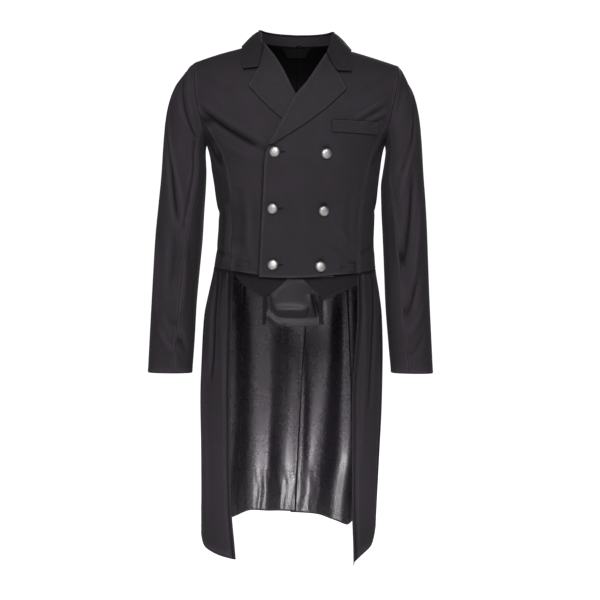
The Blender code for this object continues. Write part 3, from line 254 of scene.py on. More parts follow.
SLEEVE = Table(
    "ring keep right_out right_out_z left_out left_out_z right_in left_in in_z middle_y half_depth",
    (0, 1, .2113, -.0305, .2122, -.0385, .1889, .186, -.2045, 0, .073),
    (1, .8, .225, -.0395, .2215, -.0478, .1896, .1866, -.208, 0, .0728),
    (2, .55, .24, -.059, .2312, -.0655, .1902, .187, -.2125, 0, .0724),
    (3, .3, .256, -.086, .2418, -.0868, .1906, .1872, -.2185, 0, .0715),
    (4, .1, .267, -.115, .2502, -.113, .1906, .1864, -.227, 0, .0702),
    (5, 0, .2748, -.154, .2582, -.153, .19, .1846, -.24, .001, .0686),
    (6, 0, .2795, -.203, .263, -.203, .1893, .1815, -.26, .003, .0668),
    (7, 0, .2838, -.265, .2668, -.265, .1905, .1775, -.292, .005, .0648),
    (8, 0, .2902, -.33, .2716, -.33, .1938, .1785, -.34, .006, .0625),
    (9, 0, .2965, -.395, .2748, -.395, .197, .1812, -.397, .005, .0598),
    (10, 0, .3003, -.465, .2768, -.465, .203, .1837, -.465, 0, .0568),
    (11, 0, .3034, -.538, .2788, -.538, .209, .186, -.538, -.009, .0535),
    (12, 0, .3062, -.61, .2812, -.61, .2122, .1908, -.61, -.02, .05),
    (13, 0, .3085, -.679, .2835, -.681, .2165, .1965, -.68, -.032, .0462))
SLEEVE_FRONT_SEAM = Table("ring turn", (0, 120), (3, 132), (6, 132), (9, 112), (13, 100))
SLEEVE_BACK_SEAM = Table("ring turn", (0, 240), (6, 240), (9, 246), (13, 250))
SLEEVE_ROWS = 64
SLEEVE_COLUMNS = {"top": 44, "under": 22}
WELT = {"inner": 0.0714, "outer": 0.165, "top": -0.1665, "bottom": -0.1908, "lift": 0.003}
POINT_TOP = -0.44
WAISTCOAT_POINTS = {
    "right": ((0.129, -0.476), (0.102, -0.505), (0.0648, -0.525), (0.042, -0.5065), (0.012, -0.4805)),
    "left": ((0.127, -0.498), (0.1, -0.51), (0.0565, -0.5306), (0.04, -0.514), (0.008, -0.4805)),
}
POINT_CLOTH = 0.0012
POINT_LAYER = -0.0027
TAB_LAYER = -0.005
TAB = {"right": 0.0615, "left": 0.047, "top": -0.46, "bottom": -0.583, "elastic": 0.0078, "gather": -0.5}
BUTTON_HEIGHT = 0.0052
BUTTONS = {
    "top_outer": (-0.0429, -0.2307), "middle_outer": (-0.0476, -0.344), "bottom_outer": (-0.0472, -0.4583),
    "top_inner": (0.0592, -0.2345), "middle_inner": (0.0548, -0.349), "bottom_inner": (0.0485, -0.4619),
}
LABEL = {"top": 0.01, "bottom": -0.0065, "top_half": 0.0325, "bottom_half": 0.0185, "layer": -0.0046,
         "wall": 0.0008}
LOOP = {"x": 0.0065, "y": 0.0572, "z": 0.011, "half": 0.008, "rise": 0.007, "width": 0.0024, "wall": 0.001}

# Creases, in millimetres: start, middle pull and end as world x and height, half width, depth out of the cloth.
FRONT_CREASES = (
    (-205, -130, -150, -188, -60, -226, 8.5, -5.2), (-200, -122, -140, -166, -66, -212, 11, 2.6),
    (-198, -160, -158, -215, -80, -240, 12, 1.8), (-196, -176, -180, -222, -140, -262, 9, -1.8),
    (-200, -60, -168, -95, -120, -112, 16, -1.6), (-170, -30, -150, -80, -160, -130, 14, 1),
    (116, -163, 150, -142, 184, -116, 5, 1.5), (128, -165, 160, -150, 192, -124, 4.5, -1.4),
    (142, -166, 168, -156, 196, -134, 4.5, 1.4), (155, -167, 178, -160, 197, -146, 4, -1.2),
    (196, -180, 176, -225, 150, -262, 10, -1.6), (198, -62, 170, -85, 140, -100, 15, -1.4),
    (-122, -300, -112, -370, -124, -462, 12, -2.8), (-100, -330, -94, -400, -98, -475, 10, 1.8),
    (-145, -330, -140, -400, -150, -460, 10, 2), (-116, -400, -104, -430, -90, -466, 9, -1.2),
    (-92, -300, -88, -380, -92, -470, 9, -1.6), (60, -405, 95, -440, 128, -462, 9, -1.4),
    (74, -380, 108, -415, 136, -440, 10, 1.2), (112, -300, 104, -370, 112, -440, 12, -1.4),
    (20, -260, 10, -330, 16, -420, 20, 1), (-168, -420, -140, -436, -105, -448, 6, -1.2),
    (164, -400, 150, -424, 128, -436, 6, -1.2), (-162, -470, -166, -560, -176, -700, 8.5, -4.8),
    (-146, -480, -146, -600, -150, -760, 8, 1.2), (-186, -620, -184, -800, -182, -1000, 10, 1.4),
    (138, -500, 137, -640, 132, -860, 8, 1.4), (156, -480, 154, -600, 148, -760, 8, -2.6),
)
BACK_CREASES = (
    (-190, -150, -140, -200, -70, -225, 11, -2.4), (-186, -130, -130, -175, -60, -200, 12, 1.8),
    (188, -145, 134, -205, 60, -236, 11, -2.6), (182, -124, 128, -180, 56, -208, 13, 1.8),
    (-150, -340, -100, -365, -30, -370, 9, -1.8), (150, -352, 95, -380, 26, -384, 9, -2),
    (-140, -372, -90, -398, -24, -404, 8, 1.6), (138, -386, 85, -412, 20, -418, 8, 1.4),
    (-60, -30, -85, -80, -100, -150, 16, -1.2), (66, -32, 92, -90, 98, -160, 16, -1.2),
    (10, -560, 16, -760, 8, -985, 8, 2.6),
)
SIDE_CREASES = (          # these have turn in degrees for x
    (84, -260, 92, -340, 86, -430, 11, -1.8), (-84, -262, -94, -350, -88, -440, 11, -1.8),
    (100, -230, 108, -300, 104, -400, 11, 1.4), (-102, -232, -110, -310, -104, -410, 11, 1.4),
    (70, -330, 90, -352, 112, -350, 8, -1.4), (-70, -336, -90, -358, -112, -354, 8, -1.4),
    (76, -520, 80, -700, 76, -960, 12, -3.4), (-80, -520, -84, -700, -80, -960, 12, -3.4),
    (104, -540, 106, -720, 104, -970, 12, 3.4), (-106, -540, -104, -720, -106, -970, 12, 3.4),
)
SLEEVE_CREASES = {        # these have the face too, -1 for the front
    "right": (
        (-262, -112, -244, -150, -205, -158, 7, -3, -1), (-258, -94, -236, -126, -206, -136, 8, 2, -1),
        (-270, -112, -264, -220, -242, -372, 7, -4.2, -1), (-252, -130, -250, -230, -234, -335, 8, 2.4, -1),
        (-205, -166, -208, -262, -232, -385, 7, -4.2, -1), (-212, -220, -214, -290, -222, -350, 8, 1.8, -1),
        (-252, -380, -250, -440, -262, -520, 11, -2.6, -1), (-232, -400, -226, -470, -236, -560, 10, 2.2, -1),
        (-286, -400, -284, -480, -290, -560, 9, 1.8, -1), (-268, -560, -244, -590, -226, -640, 8, -2.2, -1),
        (-285, -585, -262, -620, -240, -662, 8, 2, -1), (-285, -300, -255, -330, -215, -335, 8, -3, 1),
        (-288, -330, -255, -365, -215, -372, 8, 2.6, 1), (-290, -360, -258, -395, -218, -405, 7.5, -2.6, 1),
        (-262, -130, -252, -220, -230, -300, 10, -2.6, 1), (-240, -480, -250, -560, -246, -640, 10, 2.2, 1),
    ),
    "left": (
        (246, -100, 226, -130, 203, -138, 8, -2.2, -1), (250, -130, 238, -200, 216, -270, 8.5, -4, -1),
        (238, -180, 226, -260, 214, -320, 8.5, 2.2, -1), (241, -270, 232, -380, 218, -490, 8.5, -3.8, -1),
        (256, -320, 250, -400, 240, -500, 8.5, 2.4, -1), (205, -330, 203, -400, 210, -460, 8, 2.2, -1),
        (250, -480, 238, -540, 220, -585, 8, -2.6, -1), (262, -540, 245, -580, 220, -610, 8, 2, -1),
        (262, -600, 245, -630, 226, -650, 7, -1.8, -1), (255, -310, 228, -340, 195, -345, 8, -3, 1),
        (260, -342, 230, -375, 196, -382, 8, 2.6, 1), (262, -372, 232, -405, 198, -415, 7.5, -2.4, 1),
        (240, -140, 232, -220, 214, -290, 10, -2.6, 1), (216, -480, 226, -560, 222, -640, 10, 2.2, 1),
    ),
}
TAB_CREASES = (
    (-46, -550, -10, -548, 22, -553, 8.5, 2.1), (-66, -556, -52, -564, -26, -582, 7, 1.5),
    (34, -516, 35.5, -536, 45, -566, 3.8, -2.4), (28, -518, 29, -540, 36, -560, 4.5, 1),
    (40, -508, 43, -526, 48, -545, 3.6, 1.2), (-58, -516, -51, -540, -56, -560, 4, -.8),
)
CREASE_DEPTH = 1.7        # the depths in the crease tables are multiplied by this
SLEEVE_DEPTH = {"right": 1.25, "left": 1.0}     # and those of a sleeve by this too
BUTTON_DIMPLE = (0.012, -0.0014, 0.004)         # half width, depth, and how far above the button it centres
RIM_LINES = (0.12, 0.32, 0.62)                  # extra lines beside each edge, as shares of the first gap
RIM_DIP = np.array([1.0, 0.45, -0.35, -0.6, -0.2])      # dip of the rim from the edge inwards; below 0 is a ridge
SHARP_FOLD = 110.0        # how tightly the cloth bends, in 1/m, where a crease's painted shade or painted highlight is strongest


# ---------------------------------------------------------------- sizes and colours a user may change

def length(name, description, default, low, high):
    return FloatProperty(name=name, description=description, default=default, min=low, max=high, unit="LENGTH")


def colour(name, default=None):
    """A colour; where no default is given, it is that of the record's material slot of the same name."""
    slot = name.lower().replace(" ", "_")
    default = default or next(row["base_color"] for row in frame["record"]["materials"] if row["slot"] == slot)
    return FloatVectorProperty(name=name, description=f"Base colour of the {name.lower()}", subtype="COLOR",
                               size=3, min=0.0, max=1.0, default=tuple(default))


class TailcoatSizes(bpy.types.PropertyGroup):
    creases: FloatProperty(name="Creases", description="Depth of the worn creases, as a share of the usual depth",
                           default=1.0, min=0.0, max=1.5, subtype="FACTOR")
    seam_dip: length("Seam dip", "How far a panel's edge is rolled in at a seam", 0.0006, 0.0, 0.0007)
    seam_gap: length("Seam gap", "Space between two panels at a seam", 0.0, 0.0, 0.0006)
    stitch_pitch: length("Stitch pitch", "From one stitch to the next", 0.003, 0.002, 0.008)
    thread: length("Thread", "Thickness of the sewing thread", 0.00045, 0.0002, 0.001)
    twill_pitch: length("Twill pitch", "Width of one rib of the outer cloth's weave", 0.0009, 0.0004, 0.003)
    grain_size: length("Grain size", "Size of one cell of the leatherette's grain", 0.0015, 0.0005, 0.006)
    floor_drop: length("Floor drop", "From the lowest point of the coat down to the floor", 0.07, 0.0, 0.5)


class TailcoatColours(bpy.types.PropertyGroup):
    outer_cloth: colour("Outer cloth")
    collar_cloth: colour("Collar cloth")
    leatherette: colour("Leatherette")
    satin: colour("Satin")
    neck_lining: colour("Neck lining")
    elastic: colour("Elastic")
    label_cloth: colour("Label cloth")
    button_metal: colour("Button metal")
    sewing_thread: colour("Sewing thread", (0.05, 0.046, 0.05))
    floor: colour("Floor", (0.9, 0.9, 0.9))


def sizes():
    return bpy.context.scene.tailcoat_sizes


def slot_colour(name):
    return tuple(getattr(bpy.context.scene.tailcoat_colours, name))


# ---------------------------------------------------------------- arrays

def ramp(value, start, end):
    """0 before start and 1 after end, with a smooth step between; start may be above end."""
    t = np.clip((value - start) / (end - start), 0.0, 1.0)
    return t * t * (3 - 2 * t)


def joined(*values):
    """Arrays of one coordinate each as one array of points."""
    return np.stack(np.broadcast_arrays(*values), axis=-1)


def parted(points):
    """An array of points as one array for each coordinate."""
    return np.moveaxis(points, -1, 0)


def unit(vectors, least=0.0):
    """Vectors made one long; least is added to their length, so that a vector of no length stays at 0."""
    return vectors / (np.linalg.norm(vectors, axis=-1, keepdims=True) + least)


def walked(points):
    """The length walked along lines of points, from the first point to each."""
    steps = np.linalg.norm(np.diff(points, axis=0), axis=-1)
    return np.concatenate((0 * steps[:1], np.cumsum(steps, axis=0)))


def wrapped(angle):
    return (angle + math.pi) % (2 * math.pi) - math.pi


def rows_between(start, end, count):
    """count steps from start to end, without the last value."""
    return np.linspace(start, end, count, endpoint=False)


# ---------------------------------------------------------------- creases

def nearest_on_path(across, along, path):
    """Distance of each place from a path of points, and the share of the path at its nearest point."""
    start, step = path[:-1], np.diff(path, axis=0)
    dx = across[..., None] - start[:, 0]
    dz = along[..., None] - start[:, 1]
    t = np.clip((dx * step[:, 0] + dz * step[:, 1]) / (step ** 2).sum(axis=1), 0, 1)
    distance = (dx - t * step[:, 0]) ** 2 + (dz - t * step[:, 1]) ** 2
    pick = distance.argmin(axis=-1)[..., None]
    share = (pick[..., 0] + np.take_along_axis(t, pick, -1)[..., 0]) / len(step)
    return np.sqrt(np.take_along_axis(distance, pick, -1)[..., 0]), share


def crease_sum(angle, along, girth, creases):
    """Sum of creases over places given as an angle and a length. A crease lies on a quadratic curve that bends
    towards its pull. It is depth * exp(-(d / width)^2) across, and fades at both ends as the square root of half
    a sine wave."""
    total = np.zeros(angle.shape)
    t = np.linspace(0, 1, 13)[:, None]
    for start, pull, end, width, depth in creases:
        path = (1 - t) ** 2 * np.array(start) + 2 * t * (1 - t) * np.array(pull) + t * t * np.array(end)
        middle = path[len(path) // 2, 0]
        near_angle = wrapped(angle - middle) + middle
        reach = 3 * width
        low, high = path.min(axis=0), path.max(axis=0)
        near = ((near_angle > low[0] - reach / girth) & (near_angle < high[0] + reach / girth)
                & (along > low[1] - reach) & (along < high[1] + reach))
        if near.any():
            distance, share = nearest_on_path(near_angle[near] * girth, along[near], path * (girth, 1.0))
            total[near] += depth * np.exp(-(distance / width) ** 2) * np.sqrt(np.sin(math.pi * share) + 1e-9)
    return total * CREASE_DEPTH


def crease_places(rows, place_of):
    """Creases of a table in metres; place_of turns an across value and a height into a place."""
    return [(*(place_of(row[k], row[k + 1] / 1000) for k in (0, 2, 4)), row[6] / 1000, row[7] / 1000)
            for row in rows]


def on_face(face):
    return lambda x, height: (float(turn_of(np.array(x / 1000), height, face)), height)


# ---------------------------------------------------------------- the body form

def half_width(x_sign, height):
    return np.where(x_sign >= 0, BODY.at("left_half", height), BODY.at("right_half", height))


def form_point(turn, height):
    """Place on the body form: x = half width * sin^0.85, y = -depth * cos^0.85 * cap, where the cap is a
    quarter circle that closes the depth to nothing at the shoulder ridge."""
    sine, cosine = np.sin(turn), np.cos(turn)
    depth = np.where(cosine >= 0, BODY.at("front_depth", height), BODY.at("back_depth", height))
    x = half_width(sine, height) * np.sign(sine) * np.abs(sine) ** FORM_POWER
    rise = np.clip((RIDGE.at("height", x) - height) / CAP_HEIGHT, 0.0, 1.0)
    y = -depth * np.sign(cosine) * np.abs(cosine) ** FORM_POWER * np.sqrt(1 - (1 - rise) ** 2)
    return joined(x, y, height)


def form_normal(turn, height, step=1e-3):
    """Outward unit normal, from small steps along and up the form; level from side to side on the ridge."""
    across = form_point(turn + step, height) - form_point(turn - step, height)
    normal = np.cross(across, form_point(turn, height + step) - form_point(turn, height - step))
    normal[..., 1] *= np.abs(form_point(turn, height)[..., 1]) >= 1e-4
    return unit(normal)


def tail_folds(turn, height):
    """Sum of bell-shaped folds, each growing from its start down to FOLD_FULL."""
    degrees = np.degrees(turn) % 360
    return sum(depth * np.exp(-((degrees - place) / width) ** 2) * ramp(height, start, FOLD_FULL)
               for place, width, depth, start in TAIL_FOLDS.columns.T)


def pleats(turn, height):
    """Soft upright pleats of the tails' back. The form is read at a shifted x, x + step * (t - sin(2 pi t) / 2 pi)
    from one flat band to the next, which leaves it level at each band and steeper between; out is what that
    changes in depth, and a smooth step between the bands' own rises."""
    point = form_point(turn, height)
    x, low = point[..., 0], np.maximum(height, PLEATS.columns[0][0])
    bands = np.stack([PLEATS.at(name, low) for name in PLEATS.names[1:]])
    which = np.clip((bands <= x).sum(axis=0) - 1, 0, len(bands) - 2)
    start, end = (np.take_along_axis(bands, which[None] + k, 0)[0] for k in (0, 1))
    t = np.clip((x - start) / (end - start), 0.0, 1.0)
    inside = (x > bands[0]) & (x < bands[-1]) & (point[..., 1] > 0)
    shifted = np.where(inside, start + (end - start) * (t - np.sin(2 * math.pi * t) / (2 * math.pi)), x)
    rise = np.array(PLEAT_RISE)
    change = form_point(turn_of(shifted, height, 1), height)[..., 1] - point[..., 1]
    change = change + rise[which] + (rise[which + 1] - rise[which]) * t * t * (3 - 2 * t)
    return np.where(inside, change, 0.0) * ramp(height, *PLEAT_TOP)


def turn_of(x, height, face=-1):
    """Turn of the place at world x on the front (face -1) or the back (face 1)."""
    share = np.clip(np.abs(x) / half_width(x, height), 0.0, 1.0) ** (1 / FORM_POWER)
    angle = np.sign(x) * np.arcsin(share)
    return angle if face < 0 else math.pi - angle


def on_front(side, x, height):
    """Turn of places on the front, for x on the wearer's own side."""
    return turn_of(SIDES[side] * np.asarray(x, float), height)


def on_back(side, x, height):
    """Turn of places on the back, signed by side, for x on the wearer's own side."""
    share = np.clip(x / half_width(SIDES[side], height), 0, 1) ** (1 / FORM_POWER)
    return SIDES[side] * (math.pi - np.arcsin(share))


def armhole_places(side, angles):
    """x on the wearer's own side and height of armhole points: angle 0 at the shoulder, 90 in front."""
    name = f"{side}_out"
    bottom_x = half_width(SIDES[side], ARMHOLE_BOTTOM)
    top = RIDGE.at("height", SIDES[side] * (bottom_x + ARMHOLE[name][-1]))
    height = (top + ARMHOLE_BOTTOM) / 2 + (top - ARMHOLE_BOTTOM) / 2 * np.cos(np.radians(angles))
    return bottom_x + ARMHOLE.at(name, height), height


def armhole_turns(side, angles):
    """Turn and height of armhole points, front and back; the turn is signed by side."""
    x, height = armhole_places(side, angles)
    front = on_front(side, x, height)
    return np.where(np.asarray(angles) > 180, SIDES[side] * math.pi - front, front), height


def armhole_path(side):
    """An armhole as a closed path of (turn in metres, height)."""
    angles = np.arange(0, 361, 10.0)
    turn, height = armhole_turns(side, angles)
    return joined(np.where(angles == 180.0, SIDES[side] * math.pi / 2, turn) * GIRTH, height)


BODY_CREASES = (crease_places(FRONT_CREASES, on_face(-1)) + crease_places(BACK_CREASES, on_face(1))
                + crease_places(SIDE_CREASES, lambda degrees, height: (math.radians(degrees), height)))
ARMHOLE_PATHS = [armhole_path(side) for side in SIDES]


def body_relief(turn, height):
    """Tail folds and creases together. Creases fade out beside the armholes, where the sleeves join on."""
    shape = np.shape(turn)
    turn, height = np.atleast_1d(turn), np.atleast_1d(height)
    out = crease_sum(turn, height, GIRTH, BODY_CREASES) * sizes().creases
    high = height > ARMHOLE_BOTTOM - ARMHOLE_REACH
    if high.any():
        for path in ARMHOLE_PATHS:
            distance, _share = nearest_on_path(wrapped(turn[high]) * GIRTH, height[high], path)
            out[high] *= ramp(distance, 0.0, ARMHOLE_FADE)
    return (out + tail_folds(turn, height) + pleats(turn, height)).reshape(shape)


def button_dimples(turn, height):
    """Shallow dimples in the left front round the buttons, deepest just above each one."""
    width, depth, above = BUTTON_DIMPLE
    out = np.zeros(turn.shape)
    for x, button_height in BUTTONS.values():
        across = wrapped(turn - float(turn_of(np.array(x), button_height))) * GIRTH
        out += depth * np.exp(-(across ** 2 + (height - button_height - above) ** 2) / width ** 2)
    return out


def shell_point(turn, height, layer):
    """Place on the form, moved out by a layer height and by the folds and creases."""
    turn, height = np.broadcast_arrays(np.asarray(turn, float), np.asarray(height, float))
    return form_point(turn, height) + form_normal(turn, height) * (layer + body_relief(turn, height))[..., None]


# ---------------------------------------------------------------- grids and cloth

def fill_between(left, right, bottom, top):
    """Grid of places between four edges: the two ruled surfaces less the one through the corners.
    Rows follow left and right, columns follow bottom and top."""
    shares = [walked(edge) / walked(edge)[-1] for edge in (left, right, bottom, top)]
    v = ((shares[0] + shares[1]) / 2)[:, None, None]
    u = ((shares[2] + shares[3]) / 2)[None, :, None]
    across = (1 - u) * left[:, None] + u * right[:, None]
    along = (1 - v) * bottom[None] + v * top[None]
    corners = ((1 - u) * (1 - v) * bottom[0] + u * (1 - v) * bottom[-1]
               + (1 - u) * v * top[0] + u * v * top[-1])
    return across + along - corners


def rectangle(x_start, x_end, columns, low, high, rows):
    """Grid of x and height over a rectangle."""
    return joined(*np.meshgrid(np.linspace(x_start, x_end, columns), np.linspace(low, high, rows)))


def rim_lines(grid, halvings=(1, 1)):
    """The grid with each gap between its rows, and its columns, halved as often as asked, and then RIM_LINES in
    the gap beside each edge."""
    for axis, times in enumerate(halvings):
        lines = np.moveaxis(grid, axis, 0)
        for _time in range(times):
            halved = np.empty((2 * len(lines) - 1, *lines.shape[1:]))
            halved[::2], halved[1::2] = lines, (lines[1:] + lines[:-1]) / 2
            lines = halved
        first = [lines[0] + (lines[1] - lines[0]) * share for share in RIM_LINES]
        last = [lines[-1] + (lines[-2] - lines[-1]) * share for share in RIM_LINES[::-1]]
        grid = np.moveaxis(np.concatenate((lines[:1], first, lines[1:-1], last, lines[-1:])), 0, axis)
    return grid


def rim_roll(shape, edges="bottom top left right"):
    """RIM_DIP inwards from the named edges of a grid and 0 elsewhere: the rolled edge of a sewn panel."""
    rows, columns = np.zeros(shape[0]), np.zeros(shape[1])
    for edge, lines in (("bottom", rows), ("top", rows[::-1]), ("left", columns), ("right", columns[::-1])):
        if edge in edges:
            lines[:len(RIM_DIP)] = RIM_DIP
    rows, columns = np.broadcast_arrays(rows[:, None], columns[None])
    return np.where(np.abs(rows) > np.abs(columns), rows, columns)


def pull_in(points, gap):
    """Move the outer rows and columns of a grid towards their neighbours by half the gap."""
    points = points.copy()
    for lines in (points, points[::-1], points.swapaxes(0, 1), points.swapaxes(0, 1)[::-1]):
        lines[0] += unit(lines[1] - lines[0]) * gap / 2
    return points


def grid_quads(index):
    return np.stack((index[:-1, :-1], index[:-1, 1:], index[1:, 1:], index[1:, :-1]), axis=-1).reshape(-1, 4)


def turned_over(quads):
    return quads[:, [0, 3, 2, 1]]


def grid_normals(points):
    """Unit normals of a grid of points, from its own rows and columns."""
    return unit(np.cross(np.gradient(points, axis=1), np.gradient(points, axis=0)), 1e-15)


def hollows(grid, normal, step=3):
    """How tightly the cloth is bent at each point: above 0 in a trough and below on a ridge. It is how far the
    middle between the lines step before and step after stands above the point, times 8, over the square of
    their distance; beside the rim it is that of the nearest line well inside."""
    total = np.zeros(grid.shape[:2])
    for axis in (0, 1):
        count = grid.shape[axis]
        inset = min(len(RIM_DIP) + step, (count - 1) // 2)
        at = np.clip(np.arange(count), inset, count - 1 - inset)
        here, before, after = (grid.take(np.clip(at + k, 0, count - 1), axis) for k in (0, -step, step))
        apart = ((after - before) ** 2).sum(axis=-1) + 1e-9
        total += 8 * (((before + after) / 2 - here) * normal.take(at, axis)).sum(axis=-1) / apart
    return np.clip(total / SHARP_FOLD, -1.0, 1.0)


def fill_mesh(name, points, faces, materials, uv=None, masks=None, material_index=None):
    """A smooth mesh from whole arrays: faces is a list of arrays of quads or of triangles, and the map and the
    named masks are given at the points."""
    loops = np.concatenate([part.ravel() for part in faces]).astype(np.int32)
    corners = np.concatenate([np.full(len(part), part.shape[1], np.int32) for part in faces])
    mesh = bpy.data.meshes.new(name)
    mesh.vertices.add(len(points))
    mesh.vertices.foreach_set("co", np.ascontiguousarray(points, np.float32).ravel())
    mesh.loops.add(len(loops))
    mesh.loops.foreach_set("vertex_index", loops)
    mesh.polygons.add(len(corners))
    mesh.polygons.foreach_set("loop_start", np.cumsum(corners, dtype=np.int32) - corners)
    mesh.polygons.foreach_set("use_smooth", np.ones(len(corners), bool))
    if material_index is not None:
        mesh.polygons.foreach_set("material_index", material_index.astype(np.int32))
    mesh.update(calc_edges=True)
    if uv is not None:
        mesh.uv_layers.new(name="cloth").data.foreach_set("uv", uv[loops].astype(np.float32).ravel())
    for label, values in (masks or {}).items():
        mesh.attributes.new(label, "FLOAT", "POINT").data.foreach_set("value", values.astype(np.float32))
    for material_name in materials:
        mesh.materials.append(material(material_name))
    piece = bpy.data.objects.new(name, mesh)
    bpy.context.scene.collection.objects.link(piece)
    return piece


def shade_beside(x, height, paths):
    """Soft shade beside things that lie on the cloth, from (path, strength, half width): each is
    strength * exp(-(distance / half width)^2), and the darkest holds."""
    return np.max([strength * np.exp(-(nearest_on_path(x, height, np.array(path))[0] / width) ** 2)
                   for path, strength, width in paths], axis=0)


MADE = {}                 # outer and inner grid of each finished piece, and -1 where its faces are turned over


def cloth_piece(name, outer, inner, uv, rim, materials, flip=False, gap=None, shade=0.0):
    """A closed cloth shell: outer and inner grids joined round the rim. The first material goes on its outside and
    rim, and the second, where there is one, on its inside. shade is painted shade, and where below 0 a painted
    highlight; it is added to the outside's hollows, the mask that paints shade in troughs and a highlight on ridges."""
    gap = sizes().seam_gap if gap is None else gap
    points = np.concatenate((pull_in(outer, gap).reshape(-1, 3), pull_in(inner, gap).reshape(-1, 3)))
    index = np.arange(len(points)).reshape(2, *outer.shape[:2])
    edge = np.concatenate((index[:, 0, :-1], index[:, :-1, -1], index[:, -1, :0:-1], index[:, :0:-1, 0]), axis=1)
    onward = np.roll(edge, -1, axis=1)
    parts = grid_quads(index[0]), turned_over(grid_quads(index[1])), joined(onward[0], edge[0], edge[1], onward[1])
    faces = turned_over(np.concatenate(parts)) if flip else np.concatenate(parts)
    inside = np.concatenate([np.full(len(part), k == 1) for k, part in enumerate(parts)])
    sign = -1 if flip else 1
    hollow = hollows(outer, grid_normals(outer) * sign)
    # rim and hollow are masks for the painted shade and painted highlight in the cloth's colour
    masks = {"rim": np.tile(rim.ravel(), 2), "hollow": np.concatenate(((hollow + shade).ravel(), -hollow.ravel()))}
    MADE[name] = outer, inner, sign
    return fill_mesh(name, points, [faces], materials, np.tile(uv.reshape(-1, 2), (2, 1)), masks,
                     inside * (len(materials) - 1))


def lay_on_form(name, turn, height, layer, wall, materials, extra=0.0, uv=None, **how):
    """A cloth piece that lies on the form. Its rim is rolled in by the seam dip outside and half as much
    inside."""
    roll = rim_roll(turn.shape)
    relief = body_relief(turn, height) + extra
    base, normal = form_point(turn, height), form_normal(turn, height)
    dip = sizes().seam_dip * roll * wall / CLOTH
    outer = base + normal * (layer + relief - dip)[..., None]
    inner = base + normal * (layer + relief - wall + dip / 2)[..., None]
    return cloth_piece(name, outer, inner, joined(turn * GIRTH, height) if uv is None else uv, roll, materials, **how)


def flat_cut(grid):
    """Width, length and area of a grid of points laid flat: its longest row, longest column and whole area."""
    width = np.linalg.norm(np.diff(grid, axis=1), axis=-1).sum(axis=1).max()
    length = np.linalg.norm(np.diff(grid, axis=0), axis=-1).sum(axis=0).max()
    a, b = grid[1:, 1:] - grid[:-1, :-1], grid[1:, :-1] - grid[:-1, 1:]
    area = np.linalg.norm(np.cross(a, b), axis=-1).sum() / 2
    return float(width), float(length), float(min(area, width * length))


def hang(piece, node, slot):
    """Hang a piece on the frame in the place of a node."""
    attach(piece, "root")
    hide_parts(node)
    return piece


def finish_sheet(piece, node, slot, stitches=()):
    """Hang a sheet with its stitches and trim, and work out the width, length and area of its cloth laid flat, which
    nothing uses. A strip that is too narrow to be a sheet of its own is hung already."""
    hang(piece, node, slot)
    for run in stitches:
        if "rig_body" not in run:
            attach(run, "root")
    width, length, area = flat_cut(MADE[piece.name][0])


# ---------------------------------------------------------------- stitching

def capped_rings(rows, columns):
    """Faces of rings of points that two poles, the last two points, close: quads, and fans of triangles."""
    index = np.arange(rows * columns).reshape(rows, columns)
    closed = np.concatenate((index, index[:, :1]), axis=1)
    return grid_quads(closed), np.concatenate((joined(index.size, closed[0, 1:], closed[0, :-1]),
                                               joined(index.size + 1, closed[-1, :-1], closed[-1, 1:])))


def stitches_mesh(name, runs, material_name="sewing_thread"):
    """Stitches along runs of (middle, direction, normal, length, thickness) arrays, as one mesh. A stitch is
    rings of six on a long oval, closed by poles."""
    along = np.array([-0.42, -0.2, 0.2, 0.42])[:, None]
    radius = 0.5 * np.sqrt(1 - (along / 0.5) ** 2)
    turn = np.radians(np.arange(0, 360, 60))
    rings = joined(along, radius * np.cos(turn), radius * np.sin(turn)).reshape(-1, 3)
    x, y, z = parted(np.concatenate((rings, [[-0.5, 0, 0], [0.5, 0, 0]])))[..., None]
    quads, fans = capped_rings(len(along), len(turn))
    middle, along, normal, length, thick = (np.concatenate(part)[:, None] for part in zip(*runs))
    length, thick = length[..., None], thick[..., None]
    points = middle + along * (x * length) + np.cross(normal, along) * (y * thick) + normal * (z * thick * 0.8)
    first = (np.arange(len(middle)) * len(x))[:, None, None]
    faces = [(part + first).reshape(-1, part.shape[1]) for part in (turned_over(quads), fans[:, [1, 0, 2]])]
    return fill_mesh(name, points.reshape(-1, 3), faces, [material_name])


def thread(share):
    return sizes().thread * share


def stitch_line(points, normals, pitch=None, length_share=0.72, sink=0.15, thick=None):
    """Evenly spaced stitches along a line of points on cloth: each lies along the line, sunk a little."""
    pitch, thick = pitch or sizes().stitch_pitch, thick or sizes().thread
    whole = walked(points)
    count = max(2, int(whole[-1] / pitch))
    place = (np.arange(count) + 0.5) * whole[-1] / count

    def at(values, where):
        return joined(*(np.interp(where, whole, column) for column in values.T))

    normal = unit(at(normals, place))
    along = at(points, place + pitch / 2) - at(points, place - pitch / 2)
    along = unit(along - normal * (along * normal).sum(axis=-1, keepdims=True), 1e-12)
    middle = at(points, place) + normal * thick * (0.5 - sink)
    return middle, along, normal, np.full(count, pitch * length_share), np.full(count, thick)


def line_beside(grid, edge, inset):
    """Points and normals of the line on a grid that runs inset metres inside the named edge, found by walking
    in from the edge along each row or column."""
    lines, sign = {"bottom": (grid, 1), "top": (grid[::-1], -1), "left": (grid.swapaxes(0, 1), -1),
                   "right": (grid.swapaxes(0, 1)[::-1], 1)}[edge]
    way = walked(lines)
    last = np.clip((way < inset).sum(axis=0) - 1, 0, len(lines) - 2)
    pick = np.arange(lines.shape[1])
    t = ((inset - way[last, pick]) / (way[last + 1, pick] - way[last, pick]))[:, None]
    points = lines[last, pick] * (1 - t) + lines[last + 1, pick] * t
    return points, sign * grid_normals(lines)[np.minimum(last + 1, len(lines) - 2), pick]


